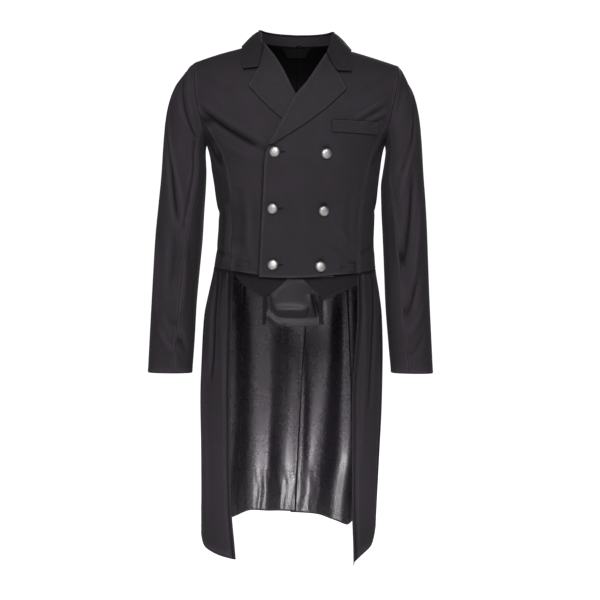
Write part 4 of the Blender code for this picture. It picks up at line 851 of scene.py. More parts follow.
def edge_run(name, edge, inset, span=(0.0, 1.0), **how):
    """Stitches beside an edge of a finished piece; span is the share of the edge that they cover."""
    outer, _inner, sign = MADE[name]
    points, normals = line_beside(outer, edge, inset)
    first, end = (int(round(share * (len(points) - 1))) for share in span)
    return stitch_line(points[first:end + 1], normals[first:end + 1] * sign, **how)


def path_on_form(places, layer, steps=0.004, face=-1):
    """Points and outward normals of straight runs between places (world x, height) on the form; layer is how far
    they stand off it, or gives that for x and height."""
    places = np.array(places, float)
    whole = walked(places)
    where = np.linspace(0, whole[-1], max(3, int(whole[-1] / steps)) + 1)
    x, height = (np.interp(where, whole, column) for column in places.T)
    turn = turn_of(x, height, face)
    return (shell_point(turn, height, layer(x, height) if callable(layer) else layer), form_normal(turn, height))


# ---------------------------------------------------------------- materials

class Nodes:
    """Short ways to add shader nodes to a tree. A value is a socket to link from, or a plain number or colour."""

    def __init__(self, tree):
        self.tree = tree

    def feed(self, socket, value):
        if isinstance(value, bpy.types.NodeSocket):
            self.tree.links.new(value, socket)
        elif value is not None:
            socket.default_value = value

    def add(self, kind, *values, out=0, **settings):
        """A node with its own settings, and values for its inputs in order; returns one of its outputs."""
        node = self.tree.nodes.new("ShaderNode" + kind)
        for label, value in settings.items():
            setattr(node, label, value)
        for socket, value in zip(node.inputs, values):
            self.feed(socket, value)
        return node.outputs[out]

    def math(self, operation, *values):
        return self.add("Math", *values, operation=operation)

    def weighted(self, *pairs):
        """Sum of values, each times its weight."""
        total = None
        for value, weight in pairs:
            share = self.math("MULTIPLY", value, weight)
            total = share if total is None else self.math("ADD", total, share)
        return total

    def scaled(self, vector, factor):
        return self.add("VectorMath", vector, None, None, factor, operation="SCALE")

    def noise(self, vector, scale, detail=3.0):
        return self.add("TexNoise", vector, None, scale, detail, 0.55)

    def spread(self, value, low, high, to_low=0.0, to_high=1.0):
        """Map range from low..high to to_low..to_high, clamped."""
        return self.add("MapRange", value, low, high, to_low, to_high)

    def mix(self, factor, dark, light):
        return self.add("Mix", factor, *[None] * 5, dark, light, data_type="RGBA", out=2)

    def group(self, name, vector, **values):
        """Place a node group, feed it the vector and set its other inputs; returns its outputs."""
        node = self.tree.nodes.new("ShaderNodeGroup")
        node.node_tree = node_group(name)
        self.feed(node.inputs[0], vector)
        for label, value in values.items():
            self.feed(node.inputs[label.replace("_", " ")], value)
        return node.outputs

    def tone(self, place, scale):
        return self.group("cloth_mottle", place, Scale=scale)["Tone"]

    def coordinates(self):
        """The object's own coordinates, the cloth map, and the outputs of the group of worn edges, painted highlight
        and painted shade.
        """
        place = self.add("TexCoord", out="Object")
        rim, hollow = (self.add("Attribute", attribute_name=label, out="Fac") for label in ("rim", "hollow"))
        return (place, self.add("UVMap", uv_map="cloth"),
                self.group("rubbed_highlit_and_shaded", place, Rim=rim, Hollow=hollow))

    def finish(self, shader, base, tone, rough, smooth, height, depth):
        """Feed a shader its colour, its roughness from rough to smooth over the tone, and its bump."""
        self.feed(shader["Base Color"], base)
        self.feed(shader["Roughness"], self.spread(tone, 0.0, 1.0, rough, smooth))
        node = self.tree.nodes.new("ShaderNodeBump")
        for label, value in (("Strength", 1.0), ("Distance", depth), ("Height", height)):
            self.feed(node.inputs[label], value)
        self.feed(shader["Normal"], node.outputs[0])


def build_twill(nodes, given, out):
    """Diagonal ribs over crossing threads: each is half a sine wave of the map's coordinates over the pitch."""
    across, up, _depth = nodes.add("SeparateXYZ", nodes.scaled(given["Map"], given["Ribs per metre"]), out=slice(3))
    wobble = nodes.noise(given["Map"], 900.0, 2.0)
    diagonal = nodes.math("ADD", nodes.math("ADD", across, up), nodes.math("MULTIPLY", wobble, 0.5))
    rib, crossing = (nodes.math("ABSOLUTE", nodes.math("SINE", nodes.math("MULTIPLY", value, turns * math.pi)))
                     for value, turns in ((diagonal, 1), (across, 2)))
    nodes.feed(out["Height"], nodes.weighted((rib, 0.65), (crossing, 0.2), (wobble, 0.3)))
    nodes.feed(out["Rib"], nodes.spread(rib, 0.1, 0.9))


def build_mottle(nodes, given, out):
    """Slow change of tone over the cloth: two noises of different size, kept near their middle."""
    broad = nodes.noise(given["Place"], given["Scale"])
    fine = nodes.noise(nodes.scaled(given["Place"], 7.0), given["Scale"], 2.0)
    nodes.feed(out["Tone"], nodes.spread(nodes.weighted((broad, 0.7), (fine, 0.3)), 0.32, 0.68))


def build_grain(nodes, given, out):
    """Leather grain: raised cells between fine valleys, with a slow unevenness from being pressed."""
    cells = nodes.tree.nodes.new("ShaderNodeTexVoronoi")
    cells.feature = "DISTANCE_TO_EDGE"
    nodes.feed(cells.inputs["Scale"], 1.0)
    nodes.feed(cells.inputs["Vector"], nodes.scaled(given["Place"], given["Cells per metre"]))
    cell = nodes.spread(cells.outputs["Distance"], 0.0, 0.16)
    stretched = nodes.add("VectorMath", given["Place"], (0.9, 0.35, 0.6), operation="MULTIPLY")
    pressed, crumple = nodes.noise(given["Place"], 300.0), nodes.noise(stretched, 90.0, 4.0)
    nodes.feed(out["Height"], nodes.weighted((cell, 0.45), (pressed, 1.1), (crumple, 2.4)))
    nodes.feed(out["Cell"], cell)


def build_wear_and_painted_light(nodes, given, out):
    """Where cloth is paler and where it is darker. The first output is paler on the ridge beside a seam, broken up by
    noise, partly worn and partly a painted highlight there, and a painted highlight on the ridges of creases; the
    second is painted shade down in the seam, in the troughs and wherever a piece is given painted shade of its own."""
    patches = nodes.spread(nodes.noise(given["Place"], 60.0, 4.0), 0.35, 0.65, 0.4, 1.0)
    ridge = nodes.math("MULTIPLY", nodes.spread(given["Rim"], -0.1, -0.6), patches)
    # painted highlight on the ridges of creases
    crest_highlight = nodes.math("MULTIPLY", nodes.spread(given["Hollow"], 0.0, -1.0), 0.8)
    nodes.feed(out["Worn and highlit"], nodes.math("MAXIMUM", ridge, crest_highlight))
    # painted shade in the seam and in the troughs
    nodes.feed(out["Shaded"], nodes.math("MAXIMUM", nodes.spread(given["Rim"], -0.2, 0.7),
                                         nodes.spread(given["Hollow"], 0.0, 1.0)))


GROUPS = {                # name: what builds it, its number inputs with their defaults after a vector, and outputs
    "twill_ribs": (build_twill, "Map", {"Ribs per metre": 1000.0}, ("Height", "Rib")),
    "cloth_mottle": (build_mottle, "Place", {"Scale": 20.0}, ("Tone",)),
    "leather_grain": (build_grain, "Place", {"Cells per metre": 700.0}, ("Height", "Cell")),
    "rubbed_highlit_and_shaded": (build_wear_and_painted_light, "Place", {"Rim": 0.0, "Hollow": 0.0}, ("Worn and highlit", "Shaded")),
}


def node_group(name):
    """A shader node group of GROUPS, built once."""
    if name not in bpy.data.node_groups:
        build, vector, numbers, outputs = GROUPS[name]
        group = bpy.data.node_groups.new(name, "ShaderNodeTree")
        group.interface.new_socket(vector, in_out="INPUT", socket_type="NodeSocketVector")
        for label, default in numbers.items():
            socket = group.interface.new_socket(label, in_out="INPUT", socket_type="NodeSocketFloat")
            socket.default_value = default
        for label in outputs:
            group.interface.new_socket(label, in_out="OUTPUT", socket_type="NodeSocketFloat")
        build(Nodes(group), group.nodes.new("NodeGroupInput").outputs, group.nodes.new("NodeGroupOutput").inputs)
    return bpy.data.node_groups[name]


def shade(base, factor):
    return (*(min(1.0, channel * factor) for channel in base), 1.0)


def tinted(base, factor=1.0):
    """The colour made darker or lighter, with the slight purple of a faded black dye."""
    return tuple(channel * factor * tint for channel, tint in zip(base, (1.04, 0.97, 1.06)))


MAUVE = (1.0, 0.93, 1.0, 1.0)
SOFTSHELL = {"Sheen_Weight": 0.12, "Sheen_Tint": (0.58, 0.5, 0.62, 1.0), "Specular_IOR_Level": 0.3}
SATIN = {"Specular_IOR_Level": 0.4, "Specular_Tint": MAUVE, "Anisotropic": 0.35}
CLOTHS = {                # slot, share of its colour, roughness, pitch of the ribs (None is that of the twill),
                          # their depth, contrast and the shader's own values
    "charcoal_softshell": ("outer_cloth", 1.25, 0.8, None, 0.00006, 0.1, SOFTSHELL),
    # the collar's copy darker than the lapels': partly the nap of its cloth, partly painted shade on its upturned
    # fall
    "collar_softshell": ("collar_cloth", 1.1, 0.78, None, 0.00006, 0.1, SOFTSHELL),
    "lapel_softshell": ("collar_cloth", 1.5, 0.78, None, 0.00006, 0.1, SOFTSHELL),
    # the outer cloth darkened for the waistcoat points: painted shade where they sit back under the front's hem
    "shaded_waistcoat_softshell": ("outer_cloth", 0.72, 0.82, None, 0.00006, 0.1,
                            {**SOFTSHELL, "Sheen_Weight": 0.05, "Specular_IOR_Level": 0.25}),
    # the neck lining's colour at a quarter: painted shade inside the neck and on the insides of the panels
    "shaded_dark_lining": ("neck_lining", 0.25, 0.55, 0.0006, 0.00003, 0.1, {"Specular_IOR_Level": 0.25}),
    "label_ribbon": ("label_cloth", 1.25, 0.55, 0.0007, 0.00008, 0.1, {"Specular_IOR_Level": 0.35}),
    "dark_satin": ("satin", 0.62, 0.42, 0.0005, 0.00002, 0.06, SATIN),
    "ribbed_elastic": ("elastic", 1.9, 0.45, 0.0016, 0.0004, 0.1, {"Specular_IOR_Level": 0.4}),
}
THREADS = {"sewing_thread": 1.0, "slit_shaded_twist": 0.12, "groove_shaded_thread": 0.35}       # shares of the thread's colour; the buttonhole twist and the thread in the grooves are darkened as painted shade of the slits and grooves
FLOOR_GLOW = 0.04         # how brightly the white floor and backdrop light the coat
BRUSH_PITCH = 0.00035     # from one brushed ring of a button to the next
BUTTON_RIM = (0.0084, 0.0091)     # radii between which the groove round a button's dome is darkened with painted shade


def weave(nodes, shader, slot, factor, roughness, pitch, depth, contrast):
    """Woven cloth: twill ribs in the bump and tone, slow mottling, edges a little paler where worn, a painted
    highlight on the ridges of seams and creases, and painted shade in seams, troughs and wherever a piece is given
    it.
    """
    dye = tinted(slot_colour(slot), factor)
    place, cloth_map, wear_and_light = nodes.coordinates()
    twill = nodes.group("twill_ribs", cloth_map, Ribs_per_metre=1.0 / (pitch or sizes().twill_pitch))
    tone = nodes.tone(place, 22.0)
    base = nodes.mix(tone, shade(dye, 1 - contrast), shade(dye, 1 + contrast))
    fine = nodes.spread(nodes.tone(place, 420.0), 0.0, 1.0, 0.45, 0.0)
    # the second mask is paler where worn and as painted highlight on ridges; the last is painted shade, near black
    for mask, tint in ((nodes.math("MULTIPLY", twill["Rib"], 0.5), 1.3),
                       (nodes.math("MULTIPLY", wear_and_light["Worn and highlit"], 0.7), 2.0), (fine, 0.55),
                       (nodes.math("MULTIPLY", wear_and_light["Shaded"], 0.93), 0.12)):
        base = nodes.mix(mask, base, shade(dye, tint))
    nodes.finish(shader, base, tone, roughness + 0.03, roughness - 0.03, twill["Height"], depth)


def leatherette(nodes, shader):
    """Glossy grained leatherette: cells in the bump, valleys duller than the cells, paler beside seams, partly worn
    and partly a painted highlight, and a painted highlight on the ridges of its pleats.
    """
    place, _cloth_map, wear_and_light = nodes.coordinates()
    grain = nodes.group("leather_grain", place, Cells_per_metre=1.0 / sizes().grain_size)
    dye = tinted(slot_colour("leatherette"))
    base = nodes.mix(grain["Cell"], shade(dye, 0.55), shade(dye, 1.15))
    # paler where worn, and painted highlight on the ridges of seams and pleats
    rubbed_and_highlit = nodes.mix(nodes.math("MULTIPLY", wear_and_light["Worn and highlit"], 0.5), base, shade(dye, 2.2))
    nodes.feed(shader["Coat Weight"], nodes.spread(grain["Cell"], 0.0, 1.0, 0.3, 0.75))
    nodes.finish(shader, rubbed_and_highlit, nodes.tone(place, 30.0), 0.33, 0.23, grain["Height"], 0.00018)


def twisted_thread(nodes, shader, factor):
    """Twisted thread: a fine unevenness and a slight gloss."""
    tone = nodes.tone(nodes.add("TexCoord", out="Object"), 900.0)
    dye = tinted(slot_colour("sewing_thread"), factor)
    nodes.finish(shader, nodes.mix(tone, shade(dye, 0.7), shade(dye, 1.3)), tone, 0.62, 0.48, tone, 0.00006)


def brushed_metal(nodes, shader):
    """Brushed silver metal: fine rings round the button from its map, with duller patches and painted shade in the
    groove round the dome.
    """
    place, round_map, _wear_and_light = nodes.coordinates()
    radius = nodes.add("SeparateXYZ", round_map, out=1)
    rings = nodes.math("SINE", nodes.math("MULTIPLY", radius, 2 * math.pi / BRUSH_PITCH))
    tone, silver = nodes.tone(place, 260.0), slot_colour("button_metal")
    bright = nodes.mix(tone, shade(silver, 1.1), shade(silver, 1.7))
    # painted shade in the groove round the dome
    base = nodes.mix(nodes.spread(radius, *BUTTON_RIM, 0.0, 0.75), bright, shade(silver, 0.25))
    nodes.finish(shader, base, tone, 0.5, 0.38, nodes.math("ADD", nodes.math("MULTIPLY", rings, 0.3), tone), 0.00003)


def stage_paint(nodes, shader):
    """Pale matt floor and backdrop, glowing enough to read as an even studio white."""
    paint = slot_colour("floor")
    tone = nodes.tone(nodes.add("TexCoord", out="Object"), 2.0)
    nodes.feed(shader["Base Color"], nodes.mix(tone, shade(paint, 0.99), shade(paint, 1.0)))
    ray = nodes.add("LightPath", out="Is Camera Ray")
    nodes.feed(shader["Emission Strength"], nodes.spread(ray, 0.0, 1.0, FLOOR_GLOW, 1.0))


FINISHES = {              # name: what builds it, what that is given, and the shader's own values
    **{name: (weave, row[:-1], {"Sheen_Roughness": 0.45, **row[-1]}) for name, row in CLOTHS.items()},
    **{name: (twisted_thread, (share,), {"Specular_IOR_Level": 0.4}) for name, share in THREADS.items()},
    "grained_leatherette": (leatherette, (), {"Specular_IOR_Level": 0.85, "Coat_Roughness": 0.22,
                                              "Specular_Tint": MAUVE, "Coat_Tint": (0.97, 0.93, 1.0, 1.0)}),
    "brushed_silver": (brushed_metal, (), {"Metallic": 1.0}),
    "pale_stage": (stage_paint, (), {"Roughness": 0.9, "Specular_IOR_Level": 0.2,
                                     "Emission_Color": (1.0, 1.0, 1.0, 1.0)}),
}


def material(name):
    """A material of FINISHES, made once."""
    if name not in bpy.data.materials:
        build, values, constants = FINISHES[name]
        made = bpy.data.materials.new(name)
        made.use_nodes = True
        shader = made.node_tree.nodes["Principled BSDF"].inputs
        for label, value in constants.items():
            shader[label.replace("_", " ")].default_value = value
        build(Nodes(made.node_tree), shader, *values)
    return bpy.data.materials[name]


OUTER = ("charcoal_softshell", "shaded_dark_lining")     # outer cloth, lined inside with the lining darkened as painted shade


# ---------------------------------------------------------------- fronts and side bodies

LAP_OVER_CLOTH = 0.0028
LAP_OVER_LAPEL = 0.0043
LAP_FADE = (0.08, 0.014)          # beyond the right front's edge, where the lift begins and where it is full
LAP_LAPEL = (-0.275, -0.225)      # heights between which it comes to clear the lapel too
LAP_TOP = (-0.07, -0.105)         # and between which it begins, below the neck


def lap(x, height):
    """How far the left front stands off the form: over the right front it clears one layer of cloth, and
    beside the right lapel two more."""
    low = height < FRONT_EDGE["height"][-1]
    reach = np.where(low, FRONT_EDGE.at("reach", height), -ROLL.at("right", height))
    over_front = ramp(x, reach + LAP_FADE[0], reach + LAP_FADE[1])
    over_lapel = LAP_OVER_LAPEL * ramp(height, *LAP_LAPEL)
    return over_front * ramp(height, *LAP_TOP) * (LAP_OVER_CLOTH + over_lapel)


def front_layer(side, x, height):
    return lap(x, height) if side == "left" else np.zeros_like(x)


def princess_places(side):
    """x and height of the rows where the front meets the side body, from the hem up to the armhole."""
    x_top, top = armhole_places(side, FRONT_JUNCTION[side])
    heights = np.linspace(FRONT_HEM[side][-1], float(top), BODY_ROWS + 1)
    x = PRINCESS.at(side, heights)
    fit = (heights - heights[0]) / (heights[-1] - heights[0])
    return joined(x + (float(x_top) - x[-1]) * fit ** 6, heights)


def front_places(side):
    """Grid of x on the wearer's own side and height, from the hem up and from the front edge outwards."""
    angles = np.arange(FRONT_JUNCTION[side], -1, -ARM_STEP)
    right = np.concatenate((princess_places(side), joined(*armhole_places(side, angles[1:]))))
    edge_heights = rows_between(FRONT_EDGE["height"][0], FRONT_EDGE["height"][-1], EDGE_ROWS)
    neck = float(RIDGE.at("height", SIDES[side] * NECK_SIDE))
    roll_heights = np.concatenate((rows_between(ROLL["height"][0], CROSSING, BODY_ROWS - EDGE_ROWS),
                                   np.linspace(CROSSING, neck, len(angles))))
    roll_x = ROLL.at(side, roll_heights)
    roll_x[-1] = NECK_SIDE
    left = np.concatenate((joined(-FRONT_EDGE.at("reach", edge_heights), edge_heights), joined(roll_x, roll_heights)))
    share = np.linspace(0, 1, SHOULDER_COLUMNS + 1)
    hem_x = left[0, 0] + (right[0, 0] - left[0, 0]) * share
    shoulder_x = NECK_SIDE + (right[-1, 0] - NECK_SIDE) * share
    return rim_lines(fill_between(left, right, joined(hem_x, FRONT_HEM.at(side, hem_x)),
                                  joined(shoulder_x, RIDGE.at("height", SIDES[side] * shoulder_x))))


HEM_STITCH = 0.0065       # from a stitched edge to its stitching
POCKET_MARKS = {          # stitched rectangles and short marks inside the hem: world x and height
    "right": (((-0.122, -0.45), (-0.096, -0.4505), (-0.096, -0.469), (-0.122, -0.4685), (-0.122, -0.45)),
              ((-0.122, -0.4595), (-0.096, -0.46))),
    "left": (((0.09, -0.4525), (0.119, -0.4525), (0.119, -0.4726), (0.09, -0.4726), (0.09, -0.4525)),
             ((0.09, -0.4625), (0.119, -0.4625)),
             ((0.138, -0.453), (0.141, -0.4545)), ((0.145, -0.453), (0.148, -0.4545))),
}
MARK_THREAD = 0.55        # thickness of the thread of the pocket marks, as a share of the sewing thread
MARK_PITCH = 0.0022
BUTTONHOLE = {"start": 0.002, "end": 0.0195, "half": 0.0011, "pitch": 0.0006, "eye": 0.0016, "eye_pitch": 0.0009,
              "stitch": 0.0019}


def buttonhole_runs():
    """Runs of close stitches across both lips of the three buttonholes, and round the eye at their outer end."""
    runs = []
    for place in ("top_outer", "middle_outer", "bottom_outer"):
        x, height = BUTTONS[place]
        start, end = x + BUTTONHOLE["start"], x + BUTTONHOLE["end"]
        for lip in (height - BUTTONHOLE["half"], height + BUTTONHOLE["half"]):
            middle, along, normal, length, thick = stitch_line(
                *path_on_form(((start, lip), (end, lip)), lap), pitch=BUTTONHOLE["pitch"], sink=0.1)
            across = np.cross(normal, along)
            runs.append((middle, across, normal, np.full(len(length), BUTTONHOLE["stitch"]), thick * 1.6))
        turn = np.radians(np.arange(0, 361, 30))
        eye = joined(end + BUTTONHOLE["eye"] * np.cos(turn), height + BUTTONHOLE["eye"] * np.sin(turn))
        runs.append(stitch_line(*path_on_form(eye, lap, 0.0008), pitch=BUTTONHOLE["eye_pitch"], length_share=1.3,
                                sink=0.1, thick=thread(1.8)))
    return runs


DRAG_SHADE = ((0.192, -0.158), (0.15, -0.182), (0.096, -0.21))    # the shaded hollow of the drag on the right front


def front_shade(side, x, height):
    """Shade on a front round the lapel, collar, welt, buttons, pocket marks and the edge that laps over it."""
    notch, tip = LAPELS[side]["notch"], LAPELS[side]["tip"]
    collar = joined(COLLAR_RIBS["edge_x"], COLLAR_RIBS["edge_z"])[:4]
    paths = [(lapel_places(side)[::3, -1], 0.9, 0.003), ((notch, tip), 0.9, 0.0025),
             ((notch, COLLAR_CORNERS[side], *collar), 1.0, 0.0032)]
    paths += [(np.array(mark) * (SIDES[side], 1), 0.8, 0.0021) for mark in POCKET_MARKS[side]]
    if side == "right":
        paths += [(FRONT_EDGE.columns.T[:, ::-1] + (0.001, 0.0), 1.0, 0.0045), (DRAG_SHADE, 0.4, 0.015)]
    else:
        inner, outer, top, bottom = (WELT[name] for name in ("inner", "outer", "top", "bottom"))
        paths.append((((inner, top), (outer, top), (outer, bottom), (inner, bottom), (inner, top)), 0.9, 0.0024))
        for name, (button_x, button_height) in BUTTONS.items():
            above = button_height + (0.0075 if "outer" in name else 0.013)
            paths.append((((button_x - 0.002, above), (button_x + 0.002, above)), 0.9, 0.0065))
    return shade_beside(x, height, paths)


def make_front(side):
    """A front: its grid on the form, hem and edge stitching, and the marks of its inside pocket."""
    name, left = f"{side}_front", side == "left"
    x, height = parted(front_places(side))
    turn = on_front(side, x, height)
    piece = lay_on_form(name, turn, height, front_layer(side, x, height), CLOTH, OUTER, flip=not left,
                        extra=button_dimples(turn, height) if left else 0.0, shade=front_shade(side, x, height))
    foot = (2 * EDGE_ROWS + len(RIM_LINES)) / (len(x) - 1)
    runs = [edge_run(name, "bottom", HEM_STITCH), edge_run(name, "left", HEM_STITCH, (0.01, foot))]
    runs += [stitch_line(*path_on_form(path, lap if left else 0.0), pitch=MARK_PITCH, thick=thread(MARK_THREAD),
                         sink=0.3) for path in POCKET_MARKS[side]]
    stitches = [stitches_mesh(f"{name}_stitches", runs)]
    if left:
        stitches.append(stitches_mesh("buttonholes", buttonhole_runs(), "slit_shaded_twist"))
    finish_sheet(piece, f"front_{side}", "outer_cloth", stitches)


SIDE_BACK_FIT = -0.23     # height above which the side-back seam bends to meet the armhole
SIDE_BACK_DEGREES = 130   # degrees round the body of the side-back seam at the waist
HEM_LEVEL = -1.0          # height at which the side-back seam is read for the hem


def side_back_turn(side, heights):
    """Turn of the side-back seam, signed by side."""
    arm_x, arm_height = (float(value) for value in armhole_places(side, BACK_JUNCTION))
    near_top = ramp(heights, SIDE_BACK_FIT, arm_height) ** 2
    return on_back(side, SIDE_BACK.at(side, heights) + (arm_x - SIDE_BACK.at(side, arm_height)) * near_top, heights)


def waist_places(side):
    """Turn and height of the waist seam's points, from the princess seam round to the side-back seam."""
    x, height = princess_places(side)[0]
    last_height = WAIST_SEAM.at(side, SIDE_BACK_DEGREES)
    turns = np.linspace(on_front(side, x, height), float(side_back_turn(side, last_height)),
                        (BACK_JUNCTION - FRONT_JUNCTION[side]) // ARM_STEP + 1)
    heights = WAIST_SEAM.at(side, np.degrees(np.abs(turns)))
    heights[0], heights[-1] = height, last_height
    return joined(turns, heights)


WAIST_SHADE = {"right": 0.9, "left": 0.45}     # how deep the shade is below the waist seam


def make_side_body(side):
    """The panel under an arm, from the princess seam to the side-back seam and down to the waist seam."""
    x, heights = parted(princess_places(side))
    top = joined(*armhole_turns(side, np.arange(FRONT_JUNCTION[side], BACK_JUNCTION + 1, ARM_STEP)))
    bottom = waist_places(side)
    back_heights = np.linspace(bottom[-1, 1], top[-1, 1], len(x))
    right = joined(side_back_turn(side, back_heights), back_heights)
    right[-1] = top[-1]
    turn, height = parted(rim_lines(fill_between(joined(on_front(side, x, heights), heights), right, bottom, top)))
    # painted shade over the whole side body, deeper on the right, where it is turned from the light
    piece = lay_on_form(f"{side}_side_body", turn, height, 0.0, CLOTH, OUTER, flip=side == "right",
                        shade=WAIST_SHADE[side] * 0.65)
    finish_sheet(piece, f"side_body_{side}", "outer_cloth")


# ---------------------------------------------------------------- backs, tails and their linings

def back_layer(side, turn, height):
    """The wearer's right tail goes inside the left one beside the vent."""
    x = form_point(turn, height)[..., 0]
    inside = ramp(height, WAIST_BACK, VENT_TOP) * ramp(x, *VENT_SIDE)
    return -VENT_DROP * inside if side == "right" else np.zeros_like(x)


def neck_line(side, x):
    """Height of the neck seam at the back, a parabola over x on the wearer's own side."""
    return NECK_BACK + (RIDGE.at("height", SIDES[side] * NECK_SIDE) - NECK_BACK) * (x / NECK_SIDE) ** 2


def tail_hem(side, turns, first, last):
    """Places of a tail's hem, between given first and last places."""
    places = joined(turns, TAIL_HEM.at(side, np.degrees(np.abs(turns))))
    places[0], places[-1] = first, last
    return places


def back_places(side):
    """Grid of (turn, height), turn measured on from the left side round the back, from the hem up. Its top goes
    round the neck to its side point, then along the shoulder seam."""
    hem_side = TAIL_HEM.at(side, np.degrees(abs(float(side_back_turn(side, HEM_LEVEL)))))
    waist_side = WAIST_SEAM.at(side, SIDE_BACK_DEGREES)
    arm_turn, arm_height = armhole_turns(side, np.arange(BACK_JUNCTION, 361, ARM_STEP))
    seam_heights = np.concatenate((rows_between(hem_side, waist_side, TAIL_ROWS),
                                   rows_between(waist_side, arm_height[0], BODY_ROWS)))
    outer = np.concatenate((joined(side_back_turn(side, seam_heights), seam_heights), joined(arm_turn, arm_height)))
    heights = np.concatenate((rows_between(TAIL_HEM.at(side, 180), VENT_TOP, VENT_ROWS),
                              rows_between(VENT_TOP, WAIST_BACK, TAIL_ROWS - VENT_ROWS),
                              rows_between(WAIST_BACK, BLADES, BODY_ROWS),
                              np.linspace(BLADES, NECK_BACK, len(arm_turn))))
    vent_x = VENT.at("outside_edge" if side == "left" else "inside_edge", heights)
    centre_turn = turn_of(vent_x * ramp(heights, VENT_TOP, VENT_TOP - VENT_CORNER), heights, 1)
    centre = joined(centre_turn - (0 if side == "left" else 2 * math.pi), heights)
    hem_turns = np.linspace(centre[0, 0], outer[0, 0], NECK_COLUMNS + SHOULDER_COLUMNS + 1)
    neck_x = np.linspace(0, NECK_SIDE, NECK_COLUMNS + 1)[1:-1]
    shoulder_x = half_width(SIDES[side], outer[-1, 1]) * math.sin(abs(outer[-1, 0])) ** FORM_POWER
    seam_x = np.linspace(NECK_SIDE, shoulder_x, SHOULDER_COLUMNS + 1)[:-1]
    x = np.concatenate((neck_x, seam_x))
    height = np.concatenate((neck_line(side, neck_x), RIDGE.at("height", SIDES[side] * seam_x)))
    top = np.concatenate((centre[-1:], joined(on_back(side, x, height), height), outer[-1:]))
    return fill_between(centre, outer, tail_hem(side, hem_turns, centre[0], outer[0]), top)


TAIL_FRONT_DEGREES = 38   # degrees round the body of the front edge of a tail at its hem


def tail_side_places(side):
    """Grid of (turn, height) from the hem up, from the front edge round to the side-back seam. Its top
    starts under the front's hem, past the princess seam, and then follows the side body's waist seam."""
    heights = np.linspace(TAIL_HEM.at(side, TAIL_FRONT_DEGREES), FRONT_HEM.at(side, TAIL_EDGE[side][-1]),
                          TAIL_ROWS + 1)
    left = joined(on_front(side, TAIL_EDGE.at(side, heights), heights), heights)
    waist = waist_places(side)
    strip = left[-1] + (waist[0] - left[-1]) * rows_between(0, 1, STRIP_COLUMNS)[:, None]
    top = np.concatenate((strip, waist))
    hem_back = TAIL_HEM.at(side, np.degrees(abs(float(side_back_turn(side, HEM_LEVEL)))))
    back_heights = np.linspace(hem_back, top[-1, 1], TAIL_ROWS + 1)
    right = joined(side_back_turn(side, back_heights), back_heights)
    share = walked(top) / walked(top)[-1]
    hem_turns = left[0, 0] + (right[0, 0] - left[0, 0]) * share
    return fill_between(left, right, tail_hem(side, hem_turns, left[0], right[0]), top)


TAIL_HEM_STITCH = 0.018
TAIL_EDGE_STITCHES = (0.005, 0.0085)      # the two rows beside the front edge of a tail


def make_back(side):
    """A back from the neck to the tail hem, with hem and vent stitching."""
    name = f"{side}_back"
    turn, height = parted(rim_lines(back_places(side)))
    piece = lay_on_form(name, turn, height, back_layer(side, turn, height), CLOTH, OUTER, flip=side == "left")
    vent = 2 * VENT_ROWS / (len(turn) - 1)
    runs = [edge_run(name, "bottom", TAIL_HEM_STITCH), edge_run(name, "left", HEM_STITCH, (0.01, vent))]
    finish_sheet(piece, f"back_{side}", "outer_cloth", [stitches_mesh(f"{name}_stitches", runs)])


def make_tail_side(side):
    """The side strip of a tail, with two rows of stitching beside its front edge. It has painted shade below the
    waist seam and in the grooves of the stitches, and a painted highlight on the ridge inside them, by bells over the
    distance from each line."""
    name = f"{side}_tail_side"
    turn, height = parted(rim_lines(tail_side_places(side), (0, 2)))
    below = WAIST_SEAM.at(side, np.degrees(np.abs(turn))) - height
    inward = form_point(turn, height)[..., 0] * SIDES[side] - TAIL_EDGE.at(side, height)
    # painted shade, and below 0 painted highlight: distance, strength, place and half width of each line
    lines = ((below, WAIST_SHADE[side], 0.0, 0.085), (below, 1.6, 0.0, 0.005),
             (inward, 1.4, TAIL_EDGE_STITCHES[0], 0.0014), (inward, 0.5, TAIL_EDGE_STITCHES[1], 0.0012),
             (inward, -0.8, 0.012, 0.0022))
    dark = sum(strength * np.exp(-((distance - place) / width) ** 2) for distance, strength, place, width in lines)
    piece = lay_on_form(name, turn, height, 0.0, CLOTH, OUTER[:1], flip=side == "right", shade=dark)
    runs = [edge_run(name, "left", inset) for inset in TAIL_EDGE_STITCHES]
    runs.append(edge_run(name, "bottom", TAIL_HEM_STITCH))
    finish_sheet(piece, f"tail_side_{side}", "outer_cloth",
                 [stitches_mesh(f"{name}_stitches", runs, "groove_shaded_thread")])


WEIGHT_POCKETS = {        # stitched pockets for the tail weights, in the lining: world x and height
    "right": (((-0.079, -0.99), (-0.079, -0.9005), (-0.0036, -0.906), (-0.0036, -0.99)),
              ((-0.037, -0.903), (-0.037, -0.99))),
    "left": (((0.009, -0.99), (0.009, -0.905), (0.044, -0.906), (0.044, -0.997)),),
}
PUCKERED = {"right": (-0.092, 0.004), "left": (0.0, 0.056)}       # world x of the puckered stretch of the lining
PUCKER_EDGE = 0.006       # half the width over which the puckers fade out at its ends
PUCKER_TOP = (-0.88, -0.93)       # heights between which they begin
PUCKER_DEPTH = 0.0006


def puckers(turn, height, side):
    """Small puckers of the lining round the weight pockets: short upright ripples above the hem."""
    x = form_point(turn, height)[..., 0]
    start, end = PUCKERED[side]
    across = (ramp(x, start - PUCKER_EDGE, start + PUCKER_EDGE)
              * ramp(x, end + PUCKER_EDGE, end - PUCKER_EDGE))
    ripple = (np.sin(x * 290 + 0.9 * np.sin(height * 75)) * 0.6 + np.sin(x * 530 + 1.7 * np.sin(height * 43)) * 0.15
              + np.sin(x * 170 + height * 30) * 0.2)
    return PUCKER_DEPTH * across * ramp(height, *PUCKER_TOP) * ripple


POCKET_STITCH = {"pitch": 0.0042, "length_share": 0.9, "thick": 0.0013}


